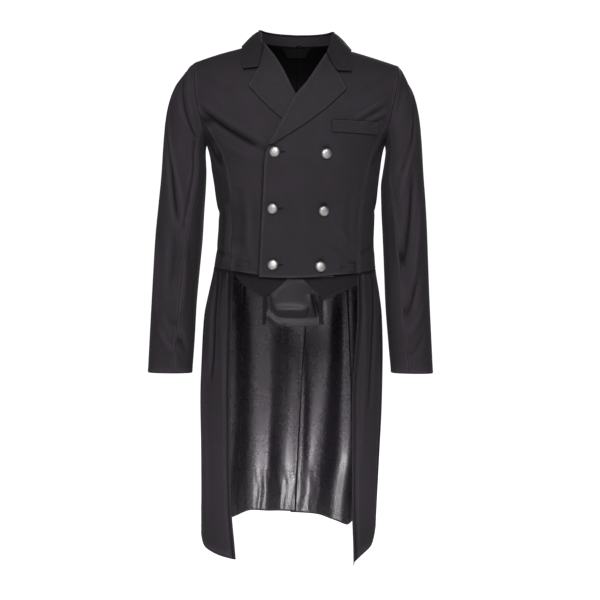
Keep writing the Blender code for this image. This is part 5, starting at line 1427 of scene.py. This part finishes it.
def pocket_runs(side):
    """The stitching of the weight pockets, on the inside of the tail lining."""
    for path in WEIGHT_POCKETS[side]:
        points, normals = path_on_form(path, -CLOTH - LAYER_GAP - LINING, 0.002, 1)
        drop = (VENT_DROP if side == "right" else 0.0) * ramp(points[:, :1], *VENT_SIDE)
        yield stitch_line(points - normals * drop, -normals, **POCKET_STITCH)


def make_lining(side, part):
    """A lining that follows the places of the panel outside it, a gap inside. The tail linings are glossy
    leatherette, with the pockets for the tail weights stitched through the back ones."""
    name, slot, node = f"{side}_{part}_lining", "leatherette", f"tail_lining_{part}_{side}"
    places = tail_side_places(side)[:, STRIP_COLUMNS:] if part == "side" else back_places(side)
    if part == "back":
        places = places[:TAIL_ROWS + 1]
    elif part == "neck":
        places = places[TAIL_ROWS + BODY_ROWS - 6:, :NECK_COLUMNS * 2 // 3 + 1]
        slot, node = "neck_lining", f"neck_lining_{side}"
    turn, height = parted(rim_lines(pull_in(places * (GIRTH, 1.0), LINING_MARGIN) / (GIRTH, 1.0)))
    layer = -CLOTH - LAYER_GAP + (0.0 if part == "side" else back_layer(side, turn, height))
    finish = "shaded_dark_lining" if part == "neck" else "grained_leatherette"
    piece = lay_on_form(name, turn, height, layer, LINING, [finish], gap=0.0,
                        extra=puckers(turn, height, side) if part == "back" else 0.0,
                        flip=side == ("right" if part == "side" else "left"))
    stitches = [stitches_mesh(f"{name}_stitches", pocket_runs(side), "groove_shaded_thread")] if part == "back" else []
    finish_sheet(piece, node, slot, stitches)


# ---------------------------------------------------------------- lapels, collar and neck

LAPEL_ROWS = 54
LAPEL_COLUMNS = 24
LAPEL_FOOT = (0.005, 0.0012)
ROLL_COLUMNS = 7
GORGE_SHADE = (1.0, 0.0028)       # strength and half width
LAPEL_PRESS = (-0.115, -0.085)    # heights between which the right roll, pressed flat by the left front, rises
NEAR_GORGE = (-0.12, -0.06)       # heights between which a lapel rises to meet the collar


def lapel_places(side):
    """Grid of x and height between the roll line, the bowed lower edge and the gorge with its notch."""
    gorge, notch, tip = (np.array(LAPELS[side][name]) for name in ("gorge", "notch", "tip"))
    share = np.linspace(0, 1, LAPEL_ROWS + 1)
    heights = ROLL["height"][0] + (gorge[1] - ROLL["height"][0]) * share
    roll = joined(ROLL.at(side, heights), heights)
    first = roll[0] + np.array(LAPEL_FOOT)
    chord = tip - first
    outward = np.array((chord[1], -chord[0])) / np.linalg.norm(chord)
    lower = first + chord * share[:, None] + outward * (LAPELS[side]["belly"] * 4 * share * (1 - share))[:, None]
    across = np.linspace(0, 1, LAPEL_COLUMNS + 1)
    bottom = roll[0] + (first - roll[0]) * across[:, None]
    way = walked(np.array((roll[-1], notch, tip)))
    across[np.abs(across - way[1] / way[2]).argmin()] = way[1] / way[2]
    top = joined(*(np.interp(across, way / way[2], values) for values in zip(roll[-1], notch, tip)))
    return fill_between(roll, lower, bottom, top)


def collar_piece(name, grid, outer, edges, uv, finish, sign=1, shade=0.0):
    """A piece of collar cloth: its inner grid lies a cloth inside the outer one, less the dip of the rim."""
    roll = rim_roll(outer.shape[:2], edges)
    inner = outer - grid_normals(grid) * sign * (COLLAR_CLOTH - sizes().seam_dip * roll)[..., None]
    return cloth_piece(name, outer, inner, uv, roll, (finish,), flip=sign < 0, shade=shade)


def dipped(grid, edges):
    """A grid with its rim rolled in along the grid's own normals."""
    return grid - grid_normals(grid) * (sizes().seam_dip * rim_roll(grid.shape[:2], edges))[..., None]


def make_lapel(side):
    """A lapel: half a circle of cloth round the front's own edge, then back over the front to its lower edge.
    It stands highest beside the roll line, a bell that fades over ROLL_WIDTH."""
    places = rim_lines(lapel_places(side))
    away = unit(places[:, :1] - places[:, 3:4])
    distance = np.linalg.norm(places - places[:, :1], axis=-1)
    pressed = ramp(places[..., 1], *LAPEL_PRESS) if side == "right" else 1.0
    lift = (COLLAR_CLOTH + OVERLAY_GAP + GORGE_RISE * ramp(places[..., 1], *NEAR_GORGE)
            + ROLL_RISE * np.exp(-(distance / ROLL_WIDTH) ** 2) * pressed)
    turn = np.radians(rows_between(-90, 90, ROLL_COLUMNS))
    rolled = places[:, :1] + away * (ROLL_RADIUS * np.cos(turn))[None, :, None]
    top = lift[:, :1]
    rise = (top + ROLL_FOOT) / 2 + (top - ROLL_FOOT) / 2 * np.sin(turn)[None]
    x, height = parted(np.concatenate((rolled, places), axis=1))
    lift = np.concatenate((rise, lift), axis=1) + front_layer(side, x, height)
    edges = "bottom top right"
    outer = shell_point(on_front(side, x, height), height, lift - sizes().seam_dip * rim_roll(x.shape, edges))
    gorge = (LAPELS[side]["gorge"], LAPELS[side]["notch"])
    piece = collar_piece(f"{side}_lapel", outer, outer, edges, joined((x + height) * 0.7, (height - x) * 0.7),
                         "lapel_softshell", SIDES[side], shade_beside(x, height, [(gorge, *GORGE_SHADE)]))
    finish_sheet(piece, f"lapel_{side}", "collar_cloth")


COLLAR_ROWS = 48          # along each half of the collar
COLLAR_COLUMNS = 20
NOTCH_SHARE = 0.52        # share of the collar's front end that lies along the gorge
COLLAR_ROLL = 0.2         # share of its width over which the cloth beside the fold stands higher
COLLAR_TUCK = np.array([0.004, 0.002])    # how far down inside the neck the two hidden columns go
STAND_ROWS = (0.03, 0.93, 12)     # shares of the way from the neck seam to the fold, and how many rows
STAND_COLUMNS = 40        # along each half of the stand


def smooth_through(points, count):
    """Points at equal steps along smooth curves through the first axis of points."""
    knots = np.arange(len(points), dtype=float)
    flat = points.reshape(len(points), -1)
    place = np.linspace(0, len(points) - 1, count + 1)
    return joined(*(smooth_curve(knots, column, place) for column in flat.T)).reshape(count + 1, *points.shape[1:])


def collar_fold_and_edge(side):
    """World points of the fold line and of the outer edge at ribs 1 to 8."""
    sign = SIDES[side]
    fold_x, fold_y, fold_z, edge_x, edge_z, edge_face = COLLAR_RIBS.columns[1:]
    tilt = (COLLAR_TILT if sign < 0 else 0.0) * np.minimum(1.0, fold_x / NECK_SIDE)
    edge = []
    for x, z, face in zip(edge_x, edge_z, edge_face):
        ridge = float(RIDGE.at("height", sign * x)) - 1e-4
        z = ridge if face == 0 else min(z + (COLLAR_TILT if sign < 0 and x > 0.02 else 0.0), ridge)
        edge.append(shell_point(turn_of(np.array(sign * x), np.array(z), face), z, COLLAR_LIFT))
    return joined(sign * fold_x, fold_y, fold_z + tilt), np.array(edge)


def collar_half(side):
    """Grid of points: rows along the collar from its front end to the centre back, columns from fold to edge."""
    shares = np.linspace(0, 1, COLLAR_COLUMNS + 1) ** 1.3
    fold, edge = collar_fold_and_edge(side)
    rib = edge - fold
    out = unit(np.cross(rib, np.gradient(fold + edge, axis=0)) * SIDES[side])
    bulge = COLLAR_BULGE * np.sin(np.pi * shares ** 0.6)
    ribs = fold[:, None] + rib[:, None] * shares[None, :, None] + out[:, None] * bulge[None, :, None]
    gorge_height = LAPELS[side]["gorge"][1]
    path = (ROLL.at(side, gorge_height), gorge_height), LAPELS[side]["notch"], COLLAR_CORNERS[side]
    x, height = (np.interp(shares, (0, NOTCH_SHARE, 1), values) for values in zip(*path))
    lift = COLLAR_LIFT + ROLL_RISE * np.exp(-(shares / COLLAR_ROLL) ** 2)
    front_end = shell_point(on_front(side, x, height), height, lift)
    return smooth_through(np.concatenate((front_end[None], ribs)), COLLAR_ROWS)


def both_halves(left, right):
    """Rows from the right half's front end round to the left one's, through the mean of their last rows."""
    return np.concatenate((right[:-1], (left[-1:] + right[-1:]) / 2, left[:-1][::-1]))


def make_collar():
    """The fall in one piece round the neck. It starts inside the neck, goes over its stand in half a circle
    and comes down outside to its edge."""
    fall = both_halves(collar_half("left"), collar_half("right"))
    normal = grid_normals(fall)[:, :1]
    down = unit(fall[:, 1:2] - fall[:, :1])
    turn = np.radians(rows_between(180, 0, 8))[None, :, None]
    bend = fall[:, :1] - normal * FOLD_RADIUS + FOLD_RADIUS * (normal * np.cos(turn) - down * np.sin(turn))
    hidden = bend[:, :1] + down * COLLAR_TUCK[None, :, None]
    grid = rim_lines(np.concatenate((hidden, bend, fall), axis=1))
    edges = "bottom top right"
    outer = dipped(grid, edges)
    x, y, z = parted(outer)
    piece = collar_piece("collar_fall", grid, outer, edges, joined(x + y, z - y * 0.3), "collar_softshell")
    finish_sheet(piece, "collar", "collar_cloth")


def neck_seam(side, fold):
    """World points of the neck seam below each fold point."""
    sign = SIDES[side]
    own = np.minimum(np.abs(fold[:, 0]), NECK_SIDE - 0.0005)
    ridge = RIDGE.at("height", sign * own) - 0.0002
    in_front = fold[:, 1] <= 0
    in_front_height = np.minimum(ridge, np.interp(own, ROLL[side], ROLL["height"]))
    height = np.minimum(np.where(in_front, in_front_height, neck_line(side, np.abs(fold[:, 0]))), ridge)
    turn = np.where(in_front, turn_of(sign * own, height), turn_of(sign * own, height, 1))
    return shell_point(turn, height, 0.0)


def make_collar_stand():
    """The stand inside the collar: rows go from the neck seam straight up to just under the fold."""
    folds = {side: smooth_through(collar_fold_and_edge(side)[0][1:8], STAND_COLUMNS) for side in SIDES}
    seams = {side: neck_seam(side, fold) for side, fold in folds.items()}
    rows = [both_halves(*(seams[side] * (1 - share) + folds[side] * share for side in SIDES))
            for share in np.linspace(*STAND_ROWS)]
    grid = rim_lines(np.array(rows))
    edges = "bottom top left right"
    outer = dipped(grid, edges)
    piece = collar_piece("neck_stand", grid, outer, edges, outer[..., ::2], "collar_softshell")
    finish_sheet(piece, "collar_stand", "collar_cloth")


LABEL_STITCH = 0.0016     # from the label's edge to its stitching


def make_label():
    """A blank label, a trapezium sewn down inside the back of the neck."""
    rows = np.linspace(0, 1, 13)[:, None]
    half = LABEL["bottom_half"] + (LABEL["top_half"] - LABEL["bottom_half"]) * rows
    grid = joined(half * np.linspace(-1, 1, 25), LABEL["bottom"] + (LABEL["top"] - LABEL["bottom"]) * rows)
    grid = rim_lines(grid)
    x, height = parted(grid)
    piece = lay_on_form("blank_label", turn_of(x, height, 1), height, LABEL["layer"], LABEL["wall"],
                        ["label_ribbon"], uv=grid, flip=True)
    runs = []
    for edge in ("bottom", "left", "right"):
        points, _normals = line_beside(MADE["blank_label"][1], edge, LABEL_STITCH)
        turn = math.pi - np.arcsin(np.clip(points[:, 0] / half_width(points[:, 0], points[:, 2]), -1, 1))
        runs.append(stitch_line(points, -form_normal(turn, points[:, 2]), pitch=MARK_PITCH, thick=thread(0.7)))
    finish_sheet(piece, "neck_label", "label_cloth",
                 [stitches_mesh("blank_label_stitches", runs), make_hanger_loop()])


def make_hanger_loop():
    """A small arch of tape at the back of the neck: a flat ribbon bent over half an oval."""
    turn = np.linspace(0, math.pi, 25)[:, None]
    inset = np.linspace(0.0, LOOP["width"], 5)
    x, z = np.cos(turn) * (LOOP["half"] - inset), np.sin(turn) ** 0.6 * (LOOP["rise"] - inset)
    outer = joined(x + LOOP["x"], LOOP["y"], z + LOOP["z"])
    piece = cloth_piece("loop_tape", outer, outer - (0.0, LOOP["wall"], 0.0), joined(x, z), rim_roll(x.shape),
                        ["label_ribbon"])
    return hang(piece, "hanger_loop", "label_cloth")


# ---------------------------------------------------------------- sleeves

def sleeve_lines(side, ring):
    """Outer and inner line of a sleeve, x on the wearer's own side and height, over ring."""
    return (joined(SLEEVE.at(f"{side}_out", ring), SLEEVE.at(f"{side}_out_z", ring)),
            joined(SLEEVE.at(f"{side}_in", ring), SLEEVE.at("in_z", ring)))


def sleeve_point(side, ring, angle):
    """Place on a sleeve: ring counts down from the armhole, angle in degrees round from the outer line,
    90 in front. Near the armhole the section keeps the armhole's own outline."""
    ring, angle = np.broadcast_arrays(np.asarray(ring, float), np.asarray(angle, float))
    cosine, sine = np.cos(np.radians(angle)), np.sin(np.radians(angle))
    outer, inner = sleeve_lines(side, ring)
    swing = np.sign(cosine) * np.abs(cosine) ** ARM_POWER
    plane = (outer + inner) / 2 + (outer - inner) / 2 * swing[..., None]
    depth = -SLEEVE.at("half_depth", ring) * np.sign(sine) * np.abs(sine) ** ARM_POWER
    oval = joined(plane[..., 0], depth + SLEEVE.at("middle_y", ring), plane[..., 1])
    arm = form_point(*armhole_turns(side, angle % 360))
    arm[..., 0] *= SIDES[side]
    for line, armhole_angle, share in ((outer, 0.0, (1 + cosine) / 2), (inner, 180.0, (1 - cosine) / 2)):
        arm[..., ::2] += (line - joined(*armhole_places(side, armhole_angle))) * share[..., None]
    keep = SLEEVE.at("keep", ring)[..., None]
    point = arm * keep + oval * (1 - keep)
    point[..., 0] *= SIDES[side]
    return point


def sleeve_normal(side, ring, angle):
    """Outward unit normal, from small steps round and down the sleeve."""
    around = sleeve_point(side, ring, angle + 1.0) - sleeve_point(side, ring, angle - 1.0)
    down = sleeve_point(side, ring + 0.05, angle) - sleeve_point(side, ring - 0.05, angle)
    return unit(np.cross(around, down) * SIDES[side])


def sleeve_height(side, ring):
    """Height of a sleeve's middle line, over ring."""
    return (SLEEVE.at(f"{side}_out_z", ring) + SLEEVE.at("in_z", ring)) / 2


def sleeve_place(side, x, height, face):
    """Angle in radians and middle-line height of the place at world x on a sleeve's front (-1) or back (1):
    the ring is read off the heights, and the angle is the arc cosine of how far x lies from the middle."""
    rings = np.linspace(0, 13, 131)
    ring = np.interp(-height, -sleeve_height(side, rings), rings)
    outer, inner = SLEEVE.at(f"{side}_out", ring), SLEEVE.at(f"{side}_in", ring)
    swing = np.clip((abs(x) - (outer + inner) / 2) / ((outer - inner) / 2), -1.0, 1.0)
    angle = math.acos(float(np.sign(swing) * np.abs(swing) ** (1 / ARM_POWER)))
    return (angle if face < 0 else 2 * math.pi - angle), height


def sleeve_relief(side, ring, angle):
    """Creases of a sleeve, which fade out at the armhole."""
    creases = [crease_places([row], lambda x, z: sleeve_place(side, x / 1000, z, row[8]))[0]
               for row in SLEEVE_CREASES[side]]
    relief = crease_sum(np.radians(angle), sleeve_height(side, ring), ARM_GIRTH, creases)
    return relief * ramp(ring, 0.0, 0.9) * sizes().creases * SLEEVE_DEPTH[side]


def make_sleeve(side, part):
    """The top or under part of a sleeve, between its front and back seams."""
    rings = rim_lines(np.linspace(0, 13, SLEEVE_ROWS + 1)[:, None] * np.ones(2))[:, :1]
    front, back = SLEEVE_FRONT_SEAM.at("turn", rings), SLEEVE_BACK_SEAM.at("turn", rings)
    start, end = {"top": (back - 360, front), "under": (front, back)}[part]
    share = rim_lines(np.linspace(0, 1, SLEEVE_COLUMNS[part] + 1) * np.ones((2, 1)))[:1]
    angle = start + (end - start) * share
    ring = np.broadcast_to(rings, angle.shape)
    relief, roll = sleeve_relief(side, ring, angle), rim_roll(angle.shape)
    point, normal = sleeve_point(side, ring, angle), sleeve_normal(side, ring, angle)
    dip = sizes().seam_dip * roll
    piece = cloth_piece(f"{side}_{part}_sleeve", point + normal * (relief - dip)[..., None],
                        point + normal * (relief - CLOTH + dip / 2)[..., None],
                        joined(np.radians(angle) * ARM_GIRTH, sleeve_height(side, ring)), roll, OUTER,
                        flip=side == "right")
    finish_sheet(piece, f"{part}_sleeve_{side}", "outer_cloth")


# ---------------------------------------------------------------- pocket, waistcoat points and tab

WELT_STITCH = 0.0018
POINT_STITCH = 0.005
TAB_STITCH = 0.008


def make_welt():
    """Breast pocket welt: a low flat band, with a row of stitches down each end."""
    x, height = parted(rim_lines(rectangle(WELT["inner"], WELT["outer"], 41, WELT["bottom"], WELT["top"], 13)))
    piece = lay_on_form("pocket_welt", turn_of(x, height), height, lap(x, height) + WELT["lift"], COLLAR_CLOTH,
                        OUTER[:1])
    runs = [edge_run("pocket_welt", edge, WELT_STITCH, pitch=MARK_PITCH, thick=thread(0.8))
            for edge in ("left", "right")]
    finish_sheet(piece, "breast_welt", "outer_cloth", [stitches_mesh("pocket_welt_stitches", runs)])


# painted shade over the whole of each waistcoat point
POINT_SHADE = {"right": 0.35, "left": 0.05}
HEM_SHADE = (0.9, 0.0075)         # strength and half width of the shade under the front's hem


def make_waistcoat_point(side):
    """A false waistcoat point that hangs from inside the front hem, with stitching round its lower edge. Its cloth is
    a darker copy of the outer cloth, with painted shade over it and under the front's hem.
    """
    name = f"{side}_point"
    lower_x, lower_height = np.array(WAISTCOAT_POINTS[side]).T
    x = np.concatenate([*(rows_between(a, b, 8) for a, b in zip(lower_x, lower_x[1:])), lower_x[-1:]])
    bottom = np.interp(-x, -lower_x, lower_height)
    x, height = parted(rim_lines(joined(x, POINT_TOP + (bottom - POINT_TOP) * np.linspace(1, 0, 17)[:, None])))
    under_hem = shade_beside(x, height, [(joined(FRONT_HEM["x"], FRONT_HEM[side]), *HEM_SHADE)])
    piece = lay_on_form(name, on_front(side, x, height), height, POINT_LAYER, POINT_CLOTH, ["shaded_waistcoat_softshell"],
                        flip=side == "left", shade=POINT_SHADE[side] + under_hem)
    run = edge_run(name, "bottom", POINT_STITCH, thick=thread(0.7))
    finish_sheet(piece, f"waistcoat_point_{side}", "outer_cloth",
                 [stitches_mesh(f"{name}_stitches", [run])])


TAB_KICK = 0.003          # how far the tab's hem stands out below the last crease
TAB_KICK_TOP = (-0.563, -0.582)   # heights between which it begins
RUFFLE = {"pitch": 0.0052, "height": 0.0011, "slant": 0.25}


def tab_relief(turn, height):
    """Pulled creases of the satin tab."""
    creases = crease_sum(turn, height, GIRTH, crease_places(TAB_CREASES, on_face(-1)))
    return creases * sizes().creases + TAB_KICK * ramp(height, *TAB_KICK_TOP)


def make_tab():
    """The satin tab behind the points, with hem stitching."""
    x, height = parted(rim_lines(rectangle(-TAB["right"], TAB["left"], 37, TAB["bottom"], TAB["top"], 41)))
    turn = turn_of(x, height)
    piece = lay_on_form("satin_tab", turn, height, TAB_LAYER, LINING, ["dark_satin"], extra=tab_relief(turn, height))
    run = edge_run("satin_tab", "bottom", TAB_STITCH, thick=thread(0.8))
    finish_sheet(piece, "waist_tab", "satin",
                 [stitches_mesh("satin_tab_stitches", [run]), *map(make_elastic, SIDES)])


def make_elastic(side):
    """Gathered elastic down one side of the tab: ruffles are sine waves along its length, slanted a little."""
    start = SIDES[side] * (TAB[side] + 0.0003)
    x, height = parted(rim_lines(rectangle(start, start + SIDES[side] * TAB["elastic"], 5,
                                           TAB["bottom"] + 0.004, TAB["gather"], 65)))
    turn = turn_of(x, height)
    wave = np.sin(2 * math.pi * (height + RUFFLE["slant"] * x) / RUFFLE["pitch"] + 1.5 * np.sin(height * 210))
    piece = lay_on_form(f"{side}_tab_elastic", turn, height, TAB_LAYER, LINING, ["ribbed_elastic"],
                        extra=tab_relief(turn, height) + RUFFLE["height"] * wave, flip=side == "right")
    return hang(piece, f"tab_elastic_{side}", "elastic")


# ---------------------------------------------------------------- buttons

BUTTON_TURNS = 64
BUTTON_PROFILE = (        # radius and height from the foot of the shank round to the middle of the dome
    (0, -.0012), (.0022, -.0012), (.0026, .0006), (.003, .0014), (.007, .0014), (.0094, .0015), (.0101, .0017),
    (.0105, .0022), (.0105, .0027), (.0102, .0033), (.0098, .0036), (.0094, .0036), (.0091, .0034), (.0089, .0033),
    (.0087, .0035), (.0084, .004), (.0079, .0044), (.0068, .0047), (.0054, .0049), (.0036, .0051), (.0018, .0052),
    (0, .0052),
)


def make_button(place):
    """A domed metal button: a half section turned once round the line out of the cloth."""
    low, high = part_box(f"button_{place}")
    x, height = BUTTONS[place]
    normal = Vector(form_normal(turn_of(np.array(x), height), np.array(height)).tolist())
    foot = np.array((low + high) / 2 - normal * (BUTTON_HEIGHT / 2))
    frame_of = np.array(normal.to_track_quat("Z", "Y").to_matrix())
    (_zero, foot_rise), *section, (_zero, top_rise) = BUTTON_PROFILE
    radius, rise = np.array(section).T[..., None]
    turn = np.radians(rows_between(0, 360, BUTTON_TURNS))
    rings = joined(radius * np.cos(turn), radius * np.sin(turn), rise).reshape(-1, 3)
    points = np.concatenate((rings, [[0, 0, foot_rise], [0, 0, top_rise]]))
    round_map = np.concatenate((joined(turn, radius).reshape(-1, 2), np.zeros((2, 2))))
    piece = fill_mesh(f"{place}_button", points @ frame_of.T + foot, capped_rings(len(section), BUTTON_TURNS),
                      ["brushed_silver"], round_map)
    hang(piece, f"button_{place}", "button_metal")


# ---------------------------------------------------------------- stage

CAMERA = {"place": (0.00735, -3.0, -0.5292), "lens": 85.71, "sensor": 36.0}
SOFT_LIGHTS = (           # name, place, aimed at, width, height, spread in degrees, power
    ("front_light", (-0.3, -3.2, 0.75), (0.0, 0.0, -0.5), 0.5, 1.4, 180, 33.0),
    ("high_light", (0.25, -2.6, 1.4), (0.0, 0.0, -0.4), 1.0, 0.8, 180, 18.5),
    ("left_strip_light", (-2.4, -1.9, 0.1), (0.0, 0.0, -0.55), 0.5, 2.2, 180, 2.0),
    ("low_light", (0.0, -0.75, -1.07), (0.0, 0.12, -0.86), 0.26, 0.1, 44, 0.14),
    ("back_light", (1.0, 3.0, 1.1), (0.0, 0.0, -0.45), 1.2, 1.2, 180, 30.0),
)
SURROUND = 0.03           # strength of the even light from all round
SWEEP = {"radius": 1.5, "reach": 7.0}


def put(name, data, place, turned):
    """An object of the stage, at its place."""
    holder = bpy.data.objects.new(name, data)
    holder.location, holder.rotation_euler = place, turned
    bpy.context.scene.collection.objects.link(holder)
    return holder


def make_camera():
    camera = bpy.data.cameras.new("camera")
    camera.lens, camera.sensor_width = CAMERA["lens"], CAMERA["sensor"]
    bpy.context.scene.camera = put("camera", camera, CAMERA["place"], (math.radians(90), 0.0, 0.0))


def make_lights():
    for name, place, aim, width, height, spread_angle, power in SOFT_LIGHTS:
        light = bpy.data.lights.new(name, "AREA")
        light.shape, light.size, light.size_y, light.energy = "RECTANGLE", width, height, power
        light.spread = math.radians(spread_angle)
        put(name, light, place, (Vector(aim) - Vector(place)).to_track_quat("-Z", "Y").to_euler())


def make_surround():
    """Even pale light from all round, seen as white."""
    world = bpy.data.worlds.new("studio")
    world.use_nodes = True
    nodes, background = Nodes(world.node_tree), world.node_tree.nodes["Background"].inputs
    nodes.feed(background["Color"], (1.0, 1.0, 1.0, 1.0))
    ray = nodes.add("LightPath", out="Is Camera Ray")
    nodes.feed(background["Strength"], nodes.spread(ray, 0.0, 1.0, SURROUND, 1.0))
    bpy.context.scene.world = world


def make_backdrop(floor_height):
    """A sweep: a level floor that curves up in a quarter circle into an upright backdrop."""
    radius, reach = SWEEP["radius"], SWEEP["reach"]
    turn = np.radians(np.linspace(0, 90, 17))
    y = np.concatenate(([-reach], reach - radius + radius * np.sin(turn), [reach]))
    z = np.concatenate(([0.0], radius - radius * np.cos(turn), [reach])) + floor_height
    points = joined(np.linspace(-reach, reach, 3), y[:, None], z[:, None])
    faces = grid_quads(np.arange(points[..., 0].size).reshape(points.shape[:2]))
    fill_mesh("backdrop", points.reshape(-1, 3), [faces], ["pale_stage"])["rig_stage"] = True


# ---------------------------------------------------------------- operators

def done(make, *over):
    """Make each piece of a group of like pieces, and end the operator."""
    for given in over:
        make(*given) if isinstance(given, tuple) else make(given)
    return {"FINISHED"}


class TAILCOAT_OT_stage(bpy.types.Operator):
    """Camera, soft studio light, pale floor and backdrop"""
    bl_idname = "tailcoat.stage"
    bl_label = "Stage"

    def execute(self, context):
        context.scene.view_settings.view_transform = "Standard"
        make_camera()
        make_lights()
        make_surround()
        make_backdrop(CAD_BOX[0][2] - sizes().floor_drop)
        return {"FINISHED"}


class TAILCOAT_OT_fronts(bpy.types.Operator):
    """Both fronts, with their stitching and buttonholes"""
    bl_idname = "tailcoat.fronts"
    bl_label = "Fronts"

    def execute(self, context):
        return done(make_front, *SIDES)


class TAILCOAT_OT_side_bodies(bpy.types.Operator):
    """The panels under the arms"""
    bl_idname = "tailcoat.side_bodies"
    bl_label = "Side bodies"

    def execute(self, context):
        return done(make_side_body, *SIDES)


class TAILCOAT_OT_backs(bpy.types.Operator):
    """The backs, from the neck to the hem of the tails"""
    bl_idname = "tailcoat.backs"
    bl_label = "Backs"

    def execute(self, context):
        return done(make_back, *SIDES)


class TAILCOAT_OT_tail_sides(bpy.types.Operator):
    """The side strips of the tails"""
    bl_idname = "tailcoat.tail_sides"
    bl_label = "Tail sides"

    def execute(self, context):
        return done(make_tail_side, *SIDES)


class TAILCOAT_OT_linings(bpy.types.Operator):
    """Leatherette tail linings with their weight pockets, and the neck lining"""
    bl_idname = "tailcoat.linings"
    bl_label = "Linings"

    def execute(self, context):
        return done(make_lining, *((side, part) for side in SIDES for part in ("side", "back", "neck")))


class TAILCOAT_OT_lapels(bpy.types.Operator):
    """The lapels, rolled back over the fronts"""
    bl_idname = "tailcoat.lapels"
    bl_label = "Lapels"

    def execute(self, context):
        return done(make_lapel, *SIDES)


class TAILCOAT_OT_collar(bpy.types.Operator):
    """The collar and its stand"""
    bl_idname = "tailcoat.collar"
    bl_label = "Collar"

    def execute(self, context):
        make_collar()
        make_collar_stand()
        return {"FINISHED"}


class TAILCOAT_OT_neck_trim(bpy.types.Operator):
    """The blank label and the hanger loop"""
    bl_idname = "tailcoat.neck_trim"
    bl_label = "Neck trim"

    def execute(self, context):
        make_label()
        return {"FINISHED"}


class TAILCOAT_OT_sleeves(bpy.types.Operator):
    """The top and under parts of both sleeves"""
    bl_idname = "tailcoat.sleeves"
    bl_label = "Sleeves"

    def execute(self, context):
        return done(make_sleeve, *((side, part) for side in SIDES for part in SLEEVE_COLUMNS))


class TAILCOAT_OT_welt(bpy.types.Operator):
    """The breast pocket welt"""
    bl_idname = "tailcoat.welt"
    bl_label = "Breast welt"

    def execute(self, context):
        make_welt()
        return {"FINISHED"}


class TAILCOAT_OT_waist(bpy.types.Operator):
    """The waistcoat points, the satin tab and its elastics"""
    bl_idname = "tailcoat.waist"
    bl_label = "Waistcoat points and tab"

    def execute(self, context):
        make_tab()
        return done(make_waistcoat_point, *SIDES)


class TAILCOAT_OT_buttons(bpy.types.Operator):
    """The six domed metal buttons"""
    bl_idname = "tailcoat.buttons"
    bl_label = "Buttons"

    def execute(self, context):
        return done(make_button, *BUTTONS)


OPERATORS = (TAILCOAT_OT_stage, TAILCOAT_OT_fronts, TAILCOAT_OT_side_bodies, TAILCOAT_OT_backs,
             TAILCOAT_OT_tail_sides, TAILCOAT_OT_linings, TAILCOAT_OT_lapels, TAILCOAT_OT_collar,
             TAILCOAT_OT_neck_trim, TAILCOAT_OT_sleeves, TAILCOAT_OT_welt, TAILCOAT_OT_waist, TAILCOAT_OT_buttons)


class TAILCOAT_PT_panel(bpy.types.Panel):
    """Sizes and colours, and a button for each group of pieces"""
    bl_label = "Dressage tailcoat"
    bl_idname = "TAILCOAT_PT_panel"
    bl_space_type = "VIEW_3D"
    bl_region_type = "UI"
    bl_category = "Tailcoat"

    def draw(self, context):
        layout = self.layout
        for group in (context.scene.tailcoat_sizes, context.scene.tailcoat_colours):
            box = layout.box()
            for name in group.__annotations__:
                box.prop(group, name)
        for operator in OPERATORS:
            layout.operator(operator.bl_idname)


CLASSES = (TailcoatSizes, TailcoatColours, *OPERATORS, TAILCOAT_PT_panel)


def register():
    for item in CLASSES:
        bpy.utils.register_class(item)
    bpy.types.Scene.tailcoat_sizes = PointerProperty(type=TailcoatSizes)
    bpy.types.Scene.tailcoat_colours = PointerProperty(type=TailcoatColours)


def unregister():
    del bpy.types.Scene.tailcoat_colours
    del bpy.types.Scene.tailcoat_sizes
    for item in reversed(CLASSES):
        bpy.utils.unregister_class(item)


def main():
    register()
    for operator in OPERATORS:
        group, name = operator.bl_idname.split(".")
        getattr(getattr(bpy.ops, group), name)()
    as_lists = {label: [[float(value) for value in corner] for corner in bounds]
                for label, bounds in (("cad_box", CAD_BOX), ("visual_box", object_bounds()))}


if __name__ == "__main__":
    main()
